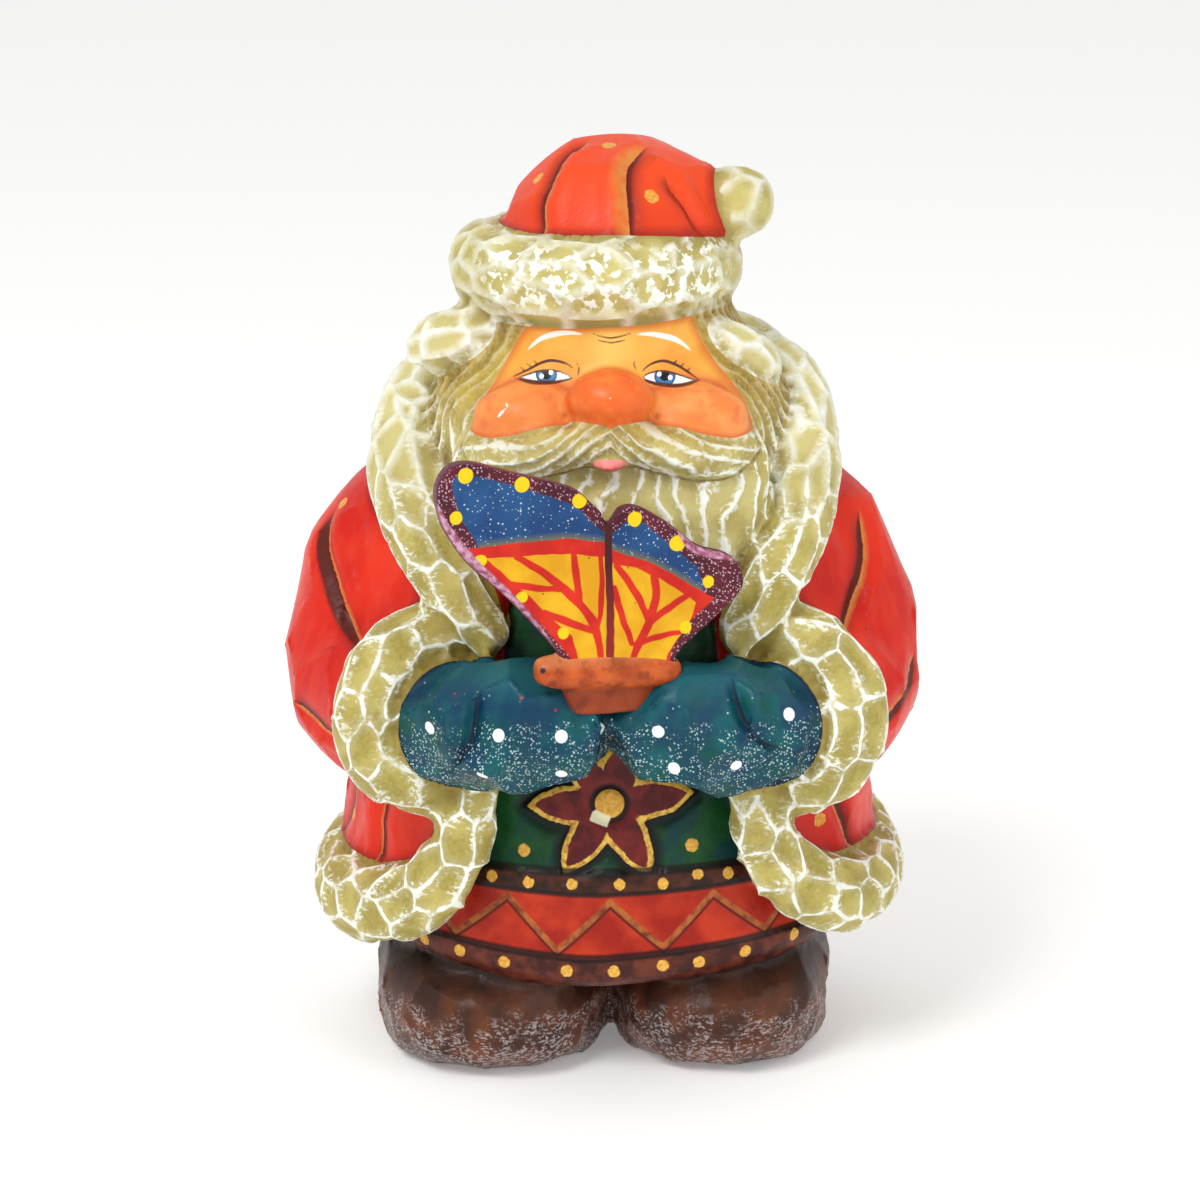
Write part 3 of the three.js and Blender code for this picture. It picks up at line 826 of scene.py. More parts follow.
cloth = blend_in(np.maximum(lead["coat"], 0), 0, 0.8)
for kind, bend in (("boots", 20), ("coat", 34), ("mittens", 10)):
    width = KNIFE_CUTS[kind]
    on = lead[kind] > 0
    rise = (np.minimum(middle[on], 0.8 * width) ** 2 - 0.2 * width**2) / (2 * bend)
    cut[on] += rise * blend_in(lead[kind][on], 0, 1.2)
push(carving, outward(carving), cut)
points = places(carving)
normals = outward(carving)

fold = {name: np.full(len(points), FAR) for name in ("fold", "fold_core", "fold_soft", "fold_gold")}
fold["fold_strength"] = np.zeros(len(points))
nearest_fold = np.full(len(points), FAR)
valley = np.zeros(len(points))
for stroke, deep, core, soft, dark_side, gold in FOLDS:
    d, away, strength = beside(points, normals, stroke)
    d = d * dark_side
    valley -= deep * hump(d, 1.2) * strength
    valley += 0.4 * deep * hump(d + 2.2, 1.5) * strength
    nearer = away < nearest_fold
    nearest_fold = np.minimum(away, nearest_fold)
    for name, value in zip(fold, (d, core * strength, soft, gold * (0.4 + 0.6 * strength), strength)):
        fold[name] = np.where(nearer, value, fold[name])
push(carving, normals, valley * cloth)

# The mittens' creases: a deep cut beside each thumb, and the cleft where the two mittens meet. The wood is
# left rounded up beside each cut.
MITTEN_CREASES = [
    ([(-17.4, -35.4, 59.5), (-17.9, -37.8, 55.7), (-18.4, -38.3, 52.5), (-20, -37.4, 50),
      (-21.4, -36.5, 48.4)], 1, 1),
    ([(15.6, -34.6, 60.8), (17, -37.7, 56.7), (18.2, -38.2, 54.4), (20.4, -37.7, 52.2),
      (23, -36.4, 50.8)], -1, 1),
    ([(-0.6, -33, 60), (-0.5, -37, 56.5), (-0.3, -37, 52), (0, -34, 47)], 1, 0.6),
]
crease = np.full(len(points), FAR)
crease_strength = np.zeros(len(points))
nearest_crease = np.full(len(points), FAR)
cleft = np.zeros(len(points))
for stroke, side, deep in MITTEN_CREASES:
    d, away, strength = beside(points, normals, stroke, round_off=0.2)
    d = d * side
    cleft -= 1.2 * deep * hump(d, 0.9) * strength
    cleft += 0.5 * hump(d - 2.2, 1.5) * strength
    nearer = away < nearest_crease
    nearest_crease = np.minimum(away, nearest_crease)
    crease = np.where(nearer, d, crease)
    crease_strength = np.where(nearer, strength * deep, crease_strength)
push(carving, normals, cleft * blend_in(lead["mittens"], 0, 0.5))

# The flower on the tunic: six pointed petals round a small button, cut in low relief with a groove around
# them. The tunic's bands are cut as two low steps.
FLOWER = (-0.2, 39.8)
PETALS = [
    (-11.4, 39.3, 5.4),
    (-6.0, 48.6, 5.2),
    (3.2, 49.6, 5.6),
    (11.5, 41.2, 5.6),
    (5.5, 30.1, 5.4),
    (-6.4, 30.2, 5.4),
]
BUTTON = (-0.1, 39.9, 2.0)
BAND_STEP = 0.45
BELT_TOP = 30.3
BELT_FOOT = 27.3
BAND_FOOT = 18.4


def petal(flat, tip, wide):
    """Signed distance inside a pointed leaf from just past the flower's middle to its tip."""
    root = np.array(FLOWER) - 0.22 * (np.array(tip) - FLOWER)
    way = np.array(tip) - root
    half_long = np.linalg.norm(way) / 2
    way = way / half_long / 2
    run = np.abs((flat - root) @ way - half_long)
    across = np.abs((flat - root) @ np.array([-way[1], way[0]]))
    half_wide = wide / 2
    drop = (half_long**2 - half_wide**2) / (2 * half_wide)
    return drop + half_wide - np.hypot(run, across + drop)


flat = points[:, [0, 2]]
in_front = (points[:, 1] < -18) & (points[:, 2] < 54) & (points[:, 2] > 26)
near_flower = in_front & (lead["tunic"] > -1)
wavy = flat + wandering(points, 2.2, 0.3)[:, :2]
flower = np.max([petal(wavy, p[:2], p[2]) for p in PETALS], axis=0)
flower = np.where(near_flower, flower, -FAR)
button = np.where(near_flower, BUTTON[2] - np.hypot(*(flat - BUTTON[:2]).T), -FAR)
relief = 0.2 * blend_in(flower, -0.2, 0.5) - 0.55 * hump(flower + 0.75, 0.7)
relief += 0.25 * blend_in(button, -0.1, 0.5) - 0.45 * hump(button + 0.5, 0.5)
band_height = points[:, 2] - hem_lift(points[:, 0], points[:, 2])
steps = np.zeros(len(points))
for border, side, half in ((BELT_TOP, 1, 0.7), (BELT_FOOT, -1, 0.7), (BAND_FOOT, 1, 0.6)):
    steps += side * BAND_STEP * (1 - blend_in(band_height, border - half, border + half))
push(carving, normals, (relief + steps) * blend_in(lead["tunic"], 0, 0.8))

# The paint: thin acrylic washes over the bare carving, dark in the cuts, partly from the wash and partly as
# painted shade, with painted shade along the borders between parts, and dry-brushed on the ridges, under a
# satin varnish. Where each colour goes is kept on the skin as distances, so its borders stay crisp.
for v in carving.verts:
    v.co.z = max(v.co.z, 0)
points = places(carving)
figure_mesh = bpy.data.meshes.new("carved_figure")
carving.to_mesh(figure_mesh)


def keep(mesh, name, values):
    mesh.attributes.new(name, "FLOAT", "POINT").data.foreach_set("value", np.asarray(values, np.float32))


def recesses(mesh, points, passes, normals):
    """How deep each point lies below the smoothed surface."""
    pairs = np.empty(2 * len(mesh.edges), np.int32)
    mesh.edges.foreach_get("vertices", pairs)
    a, b = pairs.reshape(-1, 2).T
    count = np.bincount(a, minlength=len(points)) + np.bincount(b, minlength=len(points))
    smooth = points.copy()
    for _ in range(passes):
        total = [np.bincount(a, smooth[b, k], len(points)) + np.bincount(b, smooth[a, k], len(points))
                 for k in range(3)]
        smooth = 0.5 * smooth + 0.5 * np.stack(total, axis=1) / count[:, None]
    return ((smooth - points) * normals).sum(1)


# how deep each point lies in a hollow: the paint darkens the hollows by it, as painted shade
recess = recesses(figure_mesh, points, 10, outward(carving))
for kind in ("boots", "tunic", "coat", "fur", "mittens", "hair", "moustache", "skin", "lip"):
    keep(figure_mesh, kind, lead[kind])
cut_paint = {"edge": edge, "recess": recess, "crease": crease, "crease_strength": crease_strength,
             "band_height": band_height, "flower": flower, "button": button}
for name, values in (fold | cut_paint).items():
    keep(figure_mesh, name, values)


def dotted(points, dots):
    """Distance inside the nearest round dot; each dot is laid on the surface nearest its place."""
    best = np.full(len(points), -FAR)
    for x, y, z, r in dots:
        gap = points - (x, y, z)
        middle = points[(gap**2).sum(1).argmin()]
        best = np.maximum(best, r - np.linalg.norm((points - middle) * (1, 1, 0.94), axis=1))
    return best


keep(figure_mesh, "gold_dots", dotted(points, GOLD_DOTS))
keep(figure_mesh, "white_dots", dotted(points, WHITE_DOTS))

# the tunic's pattern runs round it by the length along its outline
ZIGZAGS = 13
SKIRT_WIDE = 30.5
SKIRT_DEEP = 25.8
SKIRT_MIDDLE = -0.3
SKIRT_CORNER = 2 / 2.3
outline = []
for t in np.linspace(-math.pi, math.pi, 721):
    across, deep = (power(share, SKIRT_CORNER) for share in (math.sin(t), math.cos(t)))
    outline.append((SKIRT_WIDE * across, SKIRT_MIDDLE - SKIRT_DEEP * deep))
outline = np.array(outline)
lengths = np.concatenate([[0], np.cumsum(np.linalg.norm(np.diff(outline, axis=0), axis=1))])
lengths -= lengths[len(lengths) // 2]
angle = np.arctan2(points[:, 0], SKIRT_MIDDLE - points[:, 1])
outline_angle = np.unwrap(np.arctan2(outline[:, 0], SKIRT_MIDDLE - outline[:, 1]))
girth = np.interp(angle, outline_angle, lengths) / (2 * lengths[-1]) * ZIGZAGS
keep(figure_mesh, "girth", girth)

# The face: painted by brush. The eyes are almond shapes with blue irises, looking a little up; the lids,
# lashes and frown are thin brown lines, and the brows two white strokes.
IRIS = 1.42
PUPIL = 0.68
GLINT = 0.32
EYES = [
    ([(-12.1, 97.1), (-10.9, 97.6), (-9.2, 98.15), (-7.3, 98.25), (-5.7, 97.8), (-5.1, 97.4)],
     [(-12.1, 97.1), (-10, 96.95), (-7.4, 97), (-5.1, 97.4)], (-8.5, 97.75), [(-7.9, 98), (-9.15, 97.5)]),
    ([(4.3, 97.6), (5.2, 98.05), (6.9, 98.25), (8.8, 97.75), (11.2, 96.9)],
     [(4.3, 97.6), (5, 97.15), (6.6, 96.75), (8.8, 96.65), (11.2, 96.9)], (7.2, 97.6),
     [(6.45, 97.85), (7.9, 97.4)]),
]
LINES = [
    [(-13, 97.1), (-11, 98.1), (-9, 99.2), (-7.4, 99.5), (-5.6, 99.1), (-4.9, 98.4)],
    [(4.2, 98.3), (5.2, 99.1), (6.9, 99.5), (8.7, 98.9), (10.3, 97.9), (11.7, 96.9)],
    [(-12.7, 96.95), (-10.1, 96.8), (-7.3, 96.85), (-5.2, 97.3)],
    [(4.4, 97.3), (5.1, 96.95), (6.6, 96.6), (8.8, 96.5), (11.9, 96.9)],
    [(-12, 98.3), (-11.2, 97.9)], [(-11.2, 98.9), (-10.4, 98.4)], [(-10.3, 99.4), (-9.7, 98.9)],
    [(8.3, 98.9), (8.8, 99.5)], [(9.2, 98.5), (9.8, 99.1)], [(10, 97.9), (10.6, 98.4)],
    [(-4.5, 99.4), (-4.2, 98.6), (-4.35, 97.8)], [(3.2, 99.6), (3.1, 99.2), (3.4, 98.5)],
    [(-2.6, 103.2), (0, 102.6), (2.8, 103.2)], [(-1.8, 102.3), (0.1, 102), (1.9, 102.3)],
]
BROWS = [
    [(-11, 100.6), (-9.3, 102.1), (-7.3, 102.9), (-5.4, 103.2), (-3.6, 103)],
    [(3.3, 103), (5.2, 103), (7.5, 102.5), (9.1, 101.8), (10.7, 100.5)],
]
CHEEK_SCRATCHES = [
    [(-13.7, 94.7), (-13.5, 94.3)],
    [(-14.6, 93.4), (-13.9, 93.9)],
    [(-14.9, 92.9), (-14.6, 92.9)],
]


def smooth_line(stations, count=24):
    stations = np.array(stations, float)
    return np.array([along(stations, t) for t in np.linspace(0, 1, count)])


def brushed(flat, line, thin, thick):
    """Distance inside a brush stroke that swells from thin at its ends to thick."""
    line = smooth_line(line)
    best = np.full(len(flat), -FAR)
    for i, (a, b) in enumerate(zip(line[:-1], line[1:])):
        way = b - a
        t = np.clip((flat - a) @ way / (way @ way), 0, 1)
        place = (i + t) / (len(line) - 1)
        half = (thin + (thick - thin) * np.sin(math.pi * place)) / 2
        best = np.maximum(best, half - np.linalg.norm(flat - a - t[:, None] * way, axis=1))
    return best


nose = reach_of(forms["face"][:1], points)
front = np.flatnonzero((lead["skin"] > -0.5) & (points[:, 1] < -10) & (points[:, 2] > 90) & (nose > 0.5))
flat = points[front][:, [0, 2]]
FACE_PAINTS = ("eye_white", "iris", "pupil", "glint", "lines", "brows")
face_paint = {name: np.full(len(points), -FAR) for name in FACE_PAINTS}


def add_paint(name, value):
    face_paint[name][front] = np.maximum(face_paint[name][front], value)


for top, bottom, iris, glints in EYES:
    lens = inside(flat, np.concatenate([smooth_line(top), smooth_line(bottom)[::-1]]))
    round_iris = np.hypot(flat[:, 0] - iris[0], (flat[:, 1] - iris[1]) * 1.12)
    add_paint("eye_white", lens)
    add_paint("iris", np.minimum(IRIS - round_iris, lens + 0.05))
    add_paint("pupil", np.minimum(PUPIL - round_iris, lens + 0.05))
    for x, h in glints:
        add_paint("glint", GLINT - np.hypot(flat[:, 0] - x, flat[:, 1] - h))
    add_paint("lines", brushed(flat, top, 0.1, 0.24))
    add_paint("lines", brushed(flat, bottom, 0.1, 0.12))
for line in LINES:
    add_paint("lines", brushed(flat, line, 0.08, 0.36 if len(line) > 3 else 0.2))
for line in BROWS:
    add_paint("brows", brushed(flat, line, 0.12, 0.75))
for line in CHEEK_SCRATCHES:
    add_paint("brows", brushed(flat, line, 0.1, 0.4))
for name, values in face_paint.items():
    keep(figure_mesh, name, values)

blush = reach_of(forms["face"][1:], points)
# the painted highlight down the middle of the brow
keep(figure_mesh, "brow_highlight", hump(points[:, 0], 3.4) * blend_in(points[:, 2], 97, 100))
keep(figure_mesh, "blush", 1 - blend_in(blush, 0.2, 2.4))
keep(figure_mesh, "nose", 1 - blend_in(nose, 0.1, 0.9))

# the pale chip at the flower's middle: a small slanted block
CHIP = (-1.35, 37.9)
CHIP_SLANT = np.array([[0.92, -0.38], [0.38, 0.92]])
chip_place = (points[:, [0, 2]] - CHIP) @ CHIP_SLANT.T
chip = np.minimum(1.3 - np.abs(chip_place[:, 0]), 0.85 - np.abs(chip_place[:, 1]))
keep(figure_mesh, "chip", np.where(near_flower, chip, -FAR))


def paint(red, green, blue):
    """A colour as a painter reads it off a card, from 0 to 255, for a shader."""
    card = np.array([red, green, blue]) / 255
    return (*np.where(card > 0.04045, ((card + 0.055) / 1.055) ** 2.4, card / 12.92), 1)


# the sizes of the noise's clouds in millimetres, each with its detail
CLOUD_DETAIL = {0.5: 4, 0.9: 5, 1.5: 6, 2.4: 4, 5: 4, 14: 1}
SATIN = 0.22


class Finish:
    """A painted finish: colours laid over each other, with the noise and distances that place them."""

    def __init__(self, name):
        self.material = bpy.data.materials.new(name)
        self.material.use_nodes = True
        self.tree = self.material.node_tree
        self.shader = self.tree.nodes["Principled BSDF"]
        self.place = self.add("TexCoord", {}, out="Object")
        self.clouds = {}
        self.nets = {}
        self.height = self.math("MULTIPLY", self.add("SeparateXYZ", {"Vector": self.place}, out="Z"), 1 / MM)

    def add(self, kind, inputs, out=0, **settings):
        made = self.tree.nodes.new("ShaderNode" + kind)
        for name, value in settings.items():
            setattr(made, name, value)
        for name, value in inputs.items():
            self.fill(made.inputs[name], value)
        return made.outputs[out]

    def fill(self, socket, value):
        if isinstance(value, bpy.types.NodeSocket):
            self.tree.links.new(value, socket)
        else:
            socket.default_value = value

    def math(self, operation, a, b=0.0, c=0.0):
        return self.add("Math", {0: a, 1: b, 2: c}, operation=operation)

    def read(self, name):
        return self.add("Attribute", {}, out="Fac", attribute_name=name)

    def ramp(self, value, low, high, start=0.0, end=1.0):
        ends = {"Value": value, "From Min": low, "From Max": high, "To Min": start, "To Max": end}
        return self.add("MapRange", ends)

    def within(self, name, low=-0.06, high=0.06, start=0.0, end=1.0):
        """How far a point lies inside the painted or carved area of that name, by its signed distance."""
        return self.ramp(self.read(name), low, high, start, end)

    def mottle(self, size, low=0.35, high=0.65, stretch=(1, 1, 1), shift=0.0):
        """Smooth random patches about size millimetres across, from 0 to 1. A cloud is made only once."""
        kind = (size, stretch, shift)
        if kind not in self.clouds:
            placing = {"Vector": self.place, "Scale": stretch, "Location": (shift, shift, 0)}
            place = self.add("Mapping", placing)
            cloud = {"Vector": place, "Scale": 1 / size / MM, "Detail": CLOUD_DETAIL[size]}
            self.clouds[kind] = self.add("TexNoise", cloud)
        return self.ramp(self.clouds[kind], low, high)

    def specks(self, size, reach, share, shift=0.0):
        """Small specks of spattered paint, on a share of the cells of a fine net."""
        if (size, shift) not in self.nets:
            place = self.add("Mapping", {"Vector": self.place, "Location": (shift, shift, shift)})
            net = {"Vector": place, "Scale": 1 / size / MM}
            self.nets[size, shift] = self.add("TexVoronoi", net, out="Distance")
        near = self.nets[size, shift]
        chance = self.add("SeparateColor", {"Color": near.node.outputs["Color"]}, out="Red")
        return self.both(self.ramp(near, reach, reach * 0.6), self.ramp(chance, 1 - share, 1.02 - share))

    def mix(self, factor, below, above):
        return self.add("MixRGB", {"Fac": factor, "Color1": below, "Color2": above})

    def layers(self, base, *laid):
        """Lays colours over a base, one after another, each where its share lets it."""
        for share, tint in laid:
            base = self.mix(share, base, tint)
        return base

    def both(self, a, *others):
        for other in others:
            a = self.math("MULTIPLY", a, other)
        return a

    def either(self, a, b):
        return self.math("MAXIMUM", a, b)

    def away(self, value, line):
        return self.math("ABSOLUTE", self.math("SUBTRACT", value, line))

    def lay_on(self, colour, roughness, strength, depth):
        """Joins the colour, the gloss and the brush's fine ridges, depth millimetres high, to the surface."""
        ridges = {"Height": self.mottle(0.5, 0, 1), "Strength": strength, "Distance": depth * MM}
        surface = {"Base Color": colour, "Specular IOR Level": SATIN, "Roughness": roughness,
                   "Normal": self.add("Bump", ridges, out="Normal")}
        for name, value in surface.items():
            self.fill(self.shader.inputs[name], value)


wood = Finish("painted_carving")
height = wood.height
recess = wood.read("recess")
edge = wood.read("edge")
fine = wood.mottle(0.5, 0.3, 0.7)
brush_edge = wood.math("MULTIPLY_ADD", fine, 0.14, -0.07)
patches = wood.mottle(5, 0.42, 0.6)
WHITE_PAINT = paint(240, 243, 232)

# fur: olive cells, with painted shade deep in them and along the fur's border, and white dragged over the
# ridges; it is crisp on the hem and cuffs, softer up the collar and paler there as painted light from above,
# and ragged on the hat band
# higher up the collar the ridges are softer and the fur is painted paler, as painted light falling from above
softened_and_lit = wood.ramp(height, 76, 90)
above_collar = wood.ramp(height, 102, 105)
on_band = wood.both(wood.ramp(height, 103.5, 106), wood.ramp(height, 115.5, 113.5))
cell = wood.layers(
    wood.mix(patches, paint(156, 141, 66), paint(184, 170, 94)),
    # painted light: the cells paler up the collar
    (wood.both(softened_and_lit, 0.8), paint(218, 208, 148)),
    (wood.both(above_collar, 0.8), wood.mix(patches, paint(168, 154, 84), paint(196, 184, 112))),
    (wood.both(fine, 0.3), paint(206, 192, 118)),
    # painted shade: darker deep in the cells, and along the fur's border where other parts meet it
    (wood.ramp(recess, 0.15, 0.9, 0, 0.85), paint(122, 98, 34)),
    (wood.within("fur", 1.5, 0.1, 0, 0.6), paint(126, 102, 36)),
)
uneven = wood.both(wood.mottle(1.5, 0.3, 0.7), wood.mottle(5, 0.35, 0.65))
uneven = wood.math("MULTIPLY_ADD", uneven, 0.44, 0.12)
ridge_line = wood.ramp(wood.math("SUBTRACT", edge, uneven), 0.12, -0.05)
ridge_line = wood.both(ridge_line, wood.ramp(wood.mottle(1.5, 0.3, 0.7), 0.15, 0.5, 0.4, 1))
halo = wood.both(wood.ramp(edge, 1.2, 0.0), wood.ramp(wood.mottle(2.4, 0.3, 0.6), 0, 1, 0.4, 1))
scratches = wood.mottle(0.9, 0.53, 0.58, stretch=(1, 1, 1.8))
scratches = wood.both(scratches, wood.mottle(5, 0.42, 0.57, shift=0.05), wood.ramp(edge, 1.6, 0.6))
sideways = wood.add("SeparateXYZ", {"Vector": wood.place}, out="X")
ragged = wood.both(wood.mottle(1.5, 0.505, 0.535), wood.mottle(5, 0.36, 0.46, shift=0.05))
ragged = wood.both(wood.either(ragged, wood.both(ridge_line, 0.6)), wood.ramp(height, 105, 108),
                   wood.ramp(wood.away(sideways, 0), 18.5 * MM, 14.5 * MM))
crisp = wood.either(wood.both(ridge_line, wood.ramp(softened_and_lit, 0, 1, 1, 0.55)), wood.both(scratches, 0.8))
# the pale dry-brushing grows up the collar, where painted light falls
pale = wood.both(halo, wood.ramp(softened_and_lit, 0, 1, 0.2, 1.15))
on_fur = wood.both(wood.either(crisp, pale), wood.ramp(above_collar, 0, 1, 1, 0.62))
white = wood.mix(on_band, on_fur, wood.either(ragged, wood.both(pale, 0.6)))
# the white is held out of the hollows, partly because the dry brush misses them and partly as painted shade
fur_paint = wood.mix(wood.both(white, wood.ramp(recess, 0.9, 0.25, 0.25, 1)), cell, WHITE_PAINT)

# boots: dark brown, rubbed orange-brown, frosted with grey specks at the toes, with painted shade up under
# the hem and in the hollows
frost = wood.either(wood.specks(0.5, 0.36, 0.6), wood.mottle(0.5, 0.5, 0.6, stretch=(0.7, 1, 1.4)))
rubbed = wood.both(wood.ramp(height, 13, 2), wood.mottle(2.4, 0.3, 0.65))
leather = wood.layers(
    wood.mix(wood.mottle(5, 0.4, 0.66), paint(66, 38, 27), paint(112, 60, 34)),
    # painted shade: darker up under the tunic's hem
    (wood.ramp(height, 9, 16), paint(34, 20, 16)),
    (wood.both(frost, wood.ramp(rubbed, 0.12, 0.34), 0.7), paint(178, 168, 168)),
    # painted shade in the hollows
    (wood.ramp(recess, 0.4, 1.2), paint(22, 13, 11)),
)

# coat and hat: red, the hat lighter towards its top as painted light, with painted shade in the hollows,
# along the coat's borders and beside the folds; brown in the folds with gold dragged beside them
from_fold = wood.math("ADD", wood.read("fold"), wood.math("MULTIPLY_ADD", fine, 0.1, -0.05))
past = wood.ramp(from_fold, -0.05, 0.08)
strength = wood.read("fold_strength")
core_width = wood.read("fold_core")
gold_width = wood.read("fold_gold")
# soft: the painted shade that fades out on the dark side of each fold
soft = wood.both(past, wood.ramp(from_fold, wood.read("fold_soft"), core_width))
gilded = wood.ramp(wood.math("ADD", from_fold, gold_width), -0.3, wood.both(gold_width, 0.6))
gilded = wood.both(gilded, wood.ramp(from_fold, 0.05, -0.05), wood.ramp(gold_width, 0.05, 0.2),
                   wood.ramp(wood.mottle(1.5, 0.25, 0.6, stretch=(1, 1, 0.4)), 0, 1, 0.35, 0.9))
core = wood.both(past, wood.ramp(wood.math("SUBTRACT", from_fold, core_width), 0.25, -0.25),
                 wood.ramp(core_width, 0.05, 0.2))
on_gold_dot = wood.ramp(wood.math("ADD", wood.read("gold_dots"), brush_edge), -0.06, 0.08)
gold_dot = wood.mix(fine, paint(204, 140, 48), paint(238, 190, 84))
red = wood.layers(
    wood.mix(wood.mottle(14, 0.38, 0.62), paint(200, 26, 14), paint(222, 44, 20)),
    (wood.both(wood.mottle(2.4, 0.4, 0.7, stretch=(1, 1, 0.35)), 0.3), paint(232, 72, 34)),
    # painted highlight: the hat lighter towards its top, where the light falls
    (wood.ramp(height, 108, 122, 0, 0.65), paint(236, 84, 32)),
    # painted shade in the hollows and along the coat's borders, where the fur and other parts meet it
    (wood.ramp(recess, 0.2, 0.9, 0, 0.9), paint(128, 24, 18)),
    (wood.within("coat", 1.6, 0.1, 0, 0.75), paint(132, 22, 14)),
    # painted shade beside the folds
    (wood.both(soft, soft, strength, 0.9), paint(116, 18, 12)),
    (wood.both(gilded, wood.ramp(strength, 0, 0.6)), paint(214, 138, 62)),
    (wood.both(core, wood.ramp(strength, 0.1, 0.6, 0, 0.92)), paint(84, 28, 20)),
    (wood.both(on_gold_dot, 0.85), gold_dot),
)

# tunic: green above with the flower, a belt, a red band with a carved zigzag, and a brown hem band, with
# painted shade along its borders and dark in the groove round the petals, partly as painted shadow
petals = wood.math("ADD", wood.read("flower"), brush_edge)
button = wood.read("button")
maroon = wood.mix(wood.mottle(2.4, 0.4, 0.62), paint(84, 20, 24), paint(122, 34, 30))
petal_rim = wood.mix(wood.mottle(0.9, 0.3, 0.55), paint(168, 108, 38), paint(234, 190, 84))
green = wood.layers(
    wood.mix(wood.mottle(5, 0.4, 0.62), paint(9, 54, 29), paint(22, 84, 37)),
    (wood.mottle(5, 0.5, 0.66, shift=0.05), paint(9, 58, 60)),
    # dark in the groove round the petals: partly a dark groove, partly a painted shadow
    (wood.ramp(petals, -2.0, -0.5), paint(8, 16, 14)),
    (wood.ramp(petals, -0.08, 0.05), wood.mix(wood.ramp(petals, 0.72, 0.58), maroon, petal_rim)),
    (wood.ramp(button, -1.0, -0.5), paint(34, 10, 12)),
    (wood.ramp(button, -0.05, 0.08), gold_dot),
    (wood.within("chip", -0.05, 0.08), paint(232, 227, 190)),
    (wood.both(on_gold_dot, wood.ramp(petals, -0.6, -0.9)), gold_dot),
    # painted shade along the tunic's border, under the coat and fur
    (wood.within("tunic", 1.6, 0.2), paint(8, 26, 22)),
)
ZIGZAG_FOOT = 19.4
ZIGZAG_RISE = 6.9
WHOLE_TURNS = 20.0
band_height = wood.read("band_height")
wave = wood.away(wood.math("FRACT", wood.math("ADD", wood.read("girth"), WHOLE_TURNS)), 0.5)
peak = wood.math("MULTIPLY_ADD", wave, 2 * ZIGZAG_RISE, ZIGZAG_FOOT)
from_line = wood.math("SUBTRACT", band_height, peak)
zigzag = wood.mix(wood.mottle(1.5, 0.35, 0.6), paint(120, 52, 24), paint(176, 98, 46))
band = wood.layers(
    wood.mix(wood.mottle(5, 0.4, 0.64), paint(154, 27, 12), paint(188, 52, 22)),
    (wood.ramp(wood.away(from_line, -0.5), 0.72, 0.45), paint(96, 22, 14)),
    (wood.ramp(wood.away(from_line, 0), 0.68, 0.46), zigzag),
)
belt = wood.mix(wood.mottle(2.4, 0.4, 0.62), paint(44, 24, 16), paint(80, 40, 26))
hem = wood.mix(wood.mottle(2.4, 0.4, 0.62, shift=0.05), paint(62, 26, 20), paint(106, 48, 34))
BORDERS = ((BELT_TOP + 0.1, 0.42), (BELT_FOOT, 0.2), (BAND_FOOT + 0.15, 0.36))
borders = [wood.ramp(wood.away(band_height, middle), half + 0.35, half) for middle, half in BORDERS]
skirt = wood.layers(
    band,
    (wood.ramp(band_height, BELT_FOOT - 0.05, BELT_FOOT + 0.05), belt),
    (wood.ramp(band_height, BELT_TOP - 0.05, BELT_TOP + 0.05), green),
    (wood.ramp(band_height, BAND_FOOT + 0.05, BAND_FOOT - 0.05), hem),
    *((wood.both(border, 0.9), paint(20, 14, 12)) for border in borders),
    (wood.both(on_gold_dot, wood.ramp(band_height, BELT_TOP, BELT_TOP - 0.3)), gold_dot),
    # painted shade along the tunic's border, under the coat and fur
    (wood.within("tunic", 1.2, 0.1, 0, 0.8), paint(30, 16, 14)),
)

# mittens: mottled teal, lighter on top as painted light, with painted shade in the hollows, along their
# border and beside the creases; spattered with white on the lower half, with white dots and dark creases
crease = wood.read("crease")
shade = wood.both(wood.ramp(crease, -1.6, 0.1), wood.ramp(crease, 0.45, 0.2))
low = wood.both(wood.ramp(height, 57.5, 49, 0.05, 1), wood.mottle(2.4, 0.32, 0.62))
spatter = wood.either(wood.specks(0.5, 0.34, 0.7), wood.specks(0.36, 0.34, 0.55, shift=0.02))
big_specks = wood.both(wood.specks(0.8, 0.22, 0.16, shift=0.03), wood.ramp(height, 60, 56))
spatter = wood.either(wood.both(spatter, wood.ramp(low, 0.22, 0.42)), big_specks)
teal = wood.layers(
    wood.mix(wood.mottle(5, 0.42, 0.6), paint(6, 66, 80), paint(10, 84, 92)),
    (wood.both(wood.mottle(5, 0.48, 0.62, shift=0.05), 0.85), paint(8, 55, 86)),
    (wood.both(wood.mottle(5, 0.44, 0.32, shift=0.05), 0.7), paint(10, 76, 56)),
    # painted light: lighter on top
    (wood.ramp(height, 57, 61, 0, 0.6), paint(28, 100, 110)),
    # painted shade in the hollows and along the mittens' border
    (wood.ramp(recess, 0.15, 0.7, 0, 0.7), paint(4, 30, 52)),
    (wood.within("mittens", 0.9, 0.15), paint(4, 30, 52)),
    (wood.both(shade, shade, wood.read("crease_strength")), paint(4, 24, 48)),
    (wood.both(spatter, 0.8), paint(196, 218, 214)),
    (wood.specks(2.2, 0.11, 0.14, shift=0.05), paint(184, 36, 30)),
    (wood.within("white_dots", -0.05, 0.08), paint(246, 247, 244)),
)

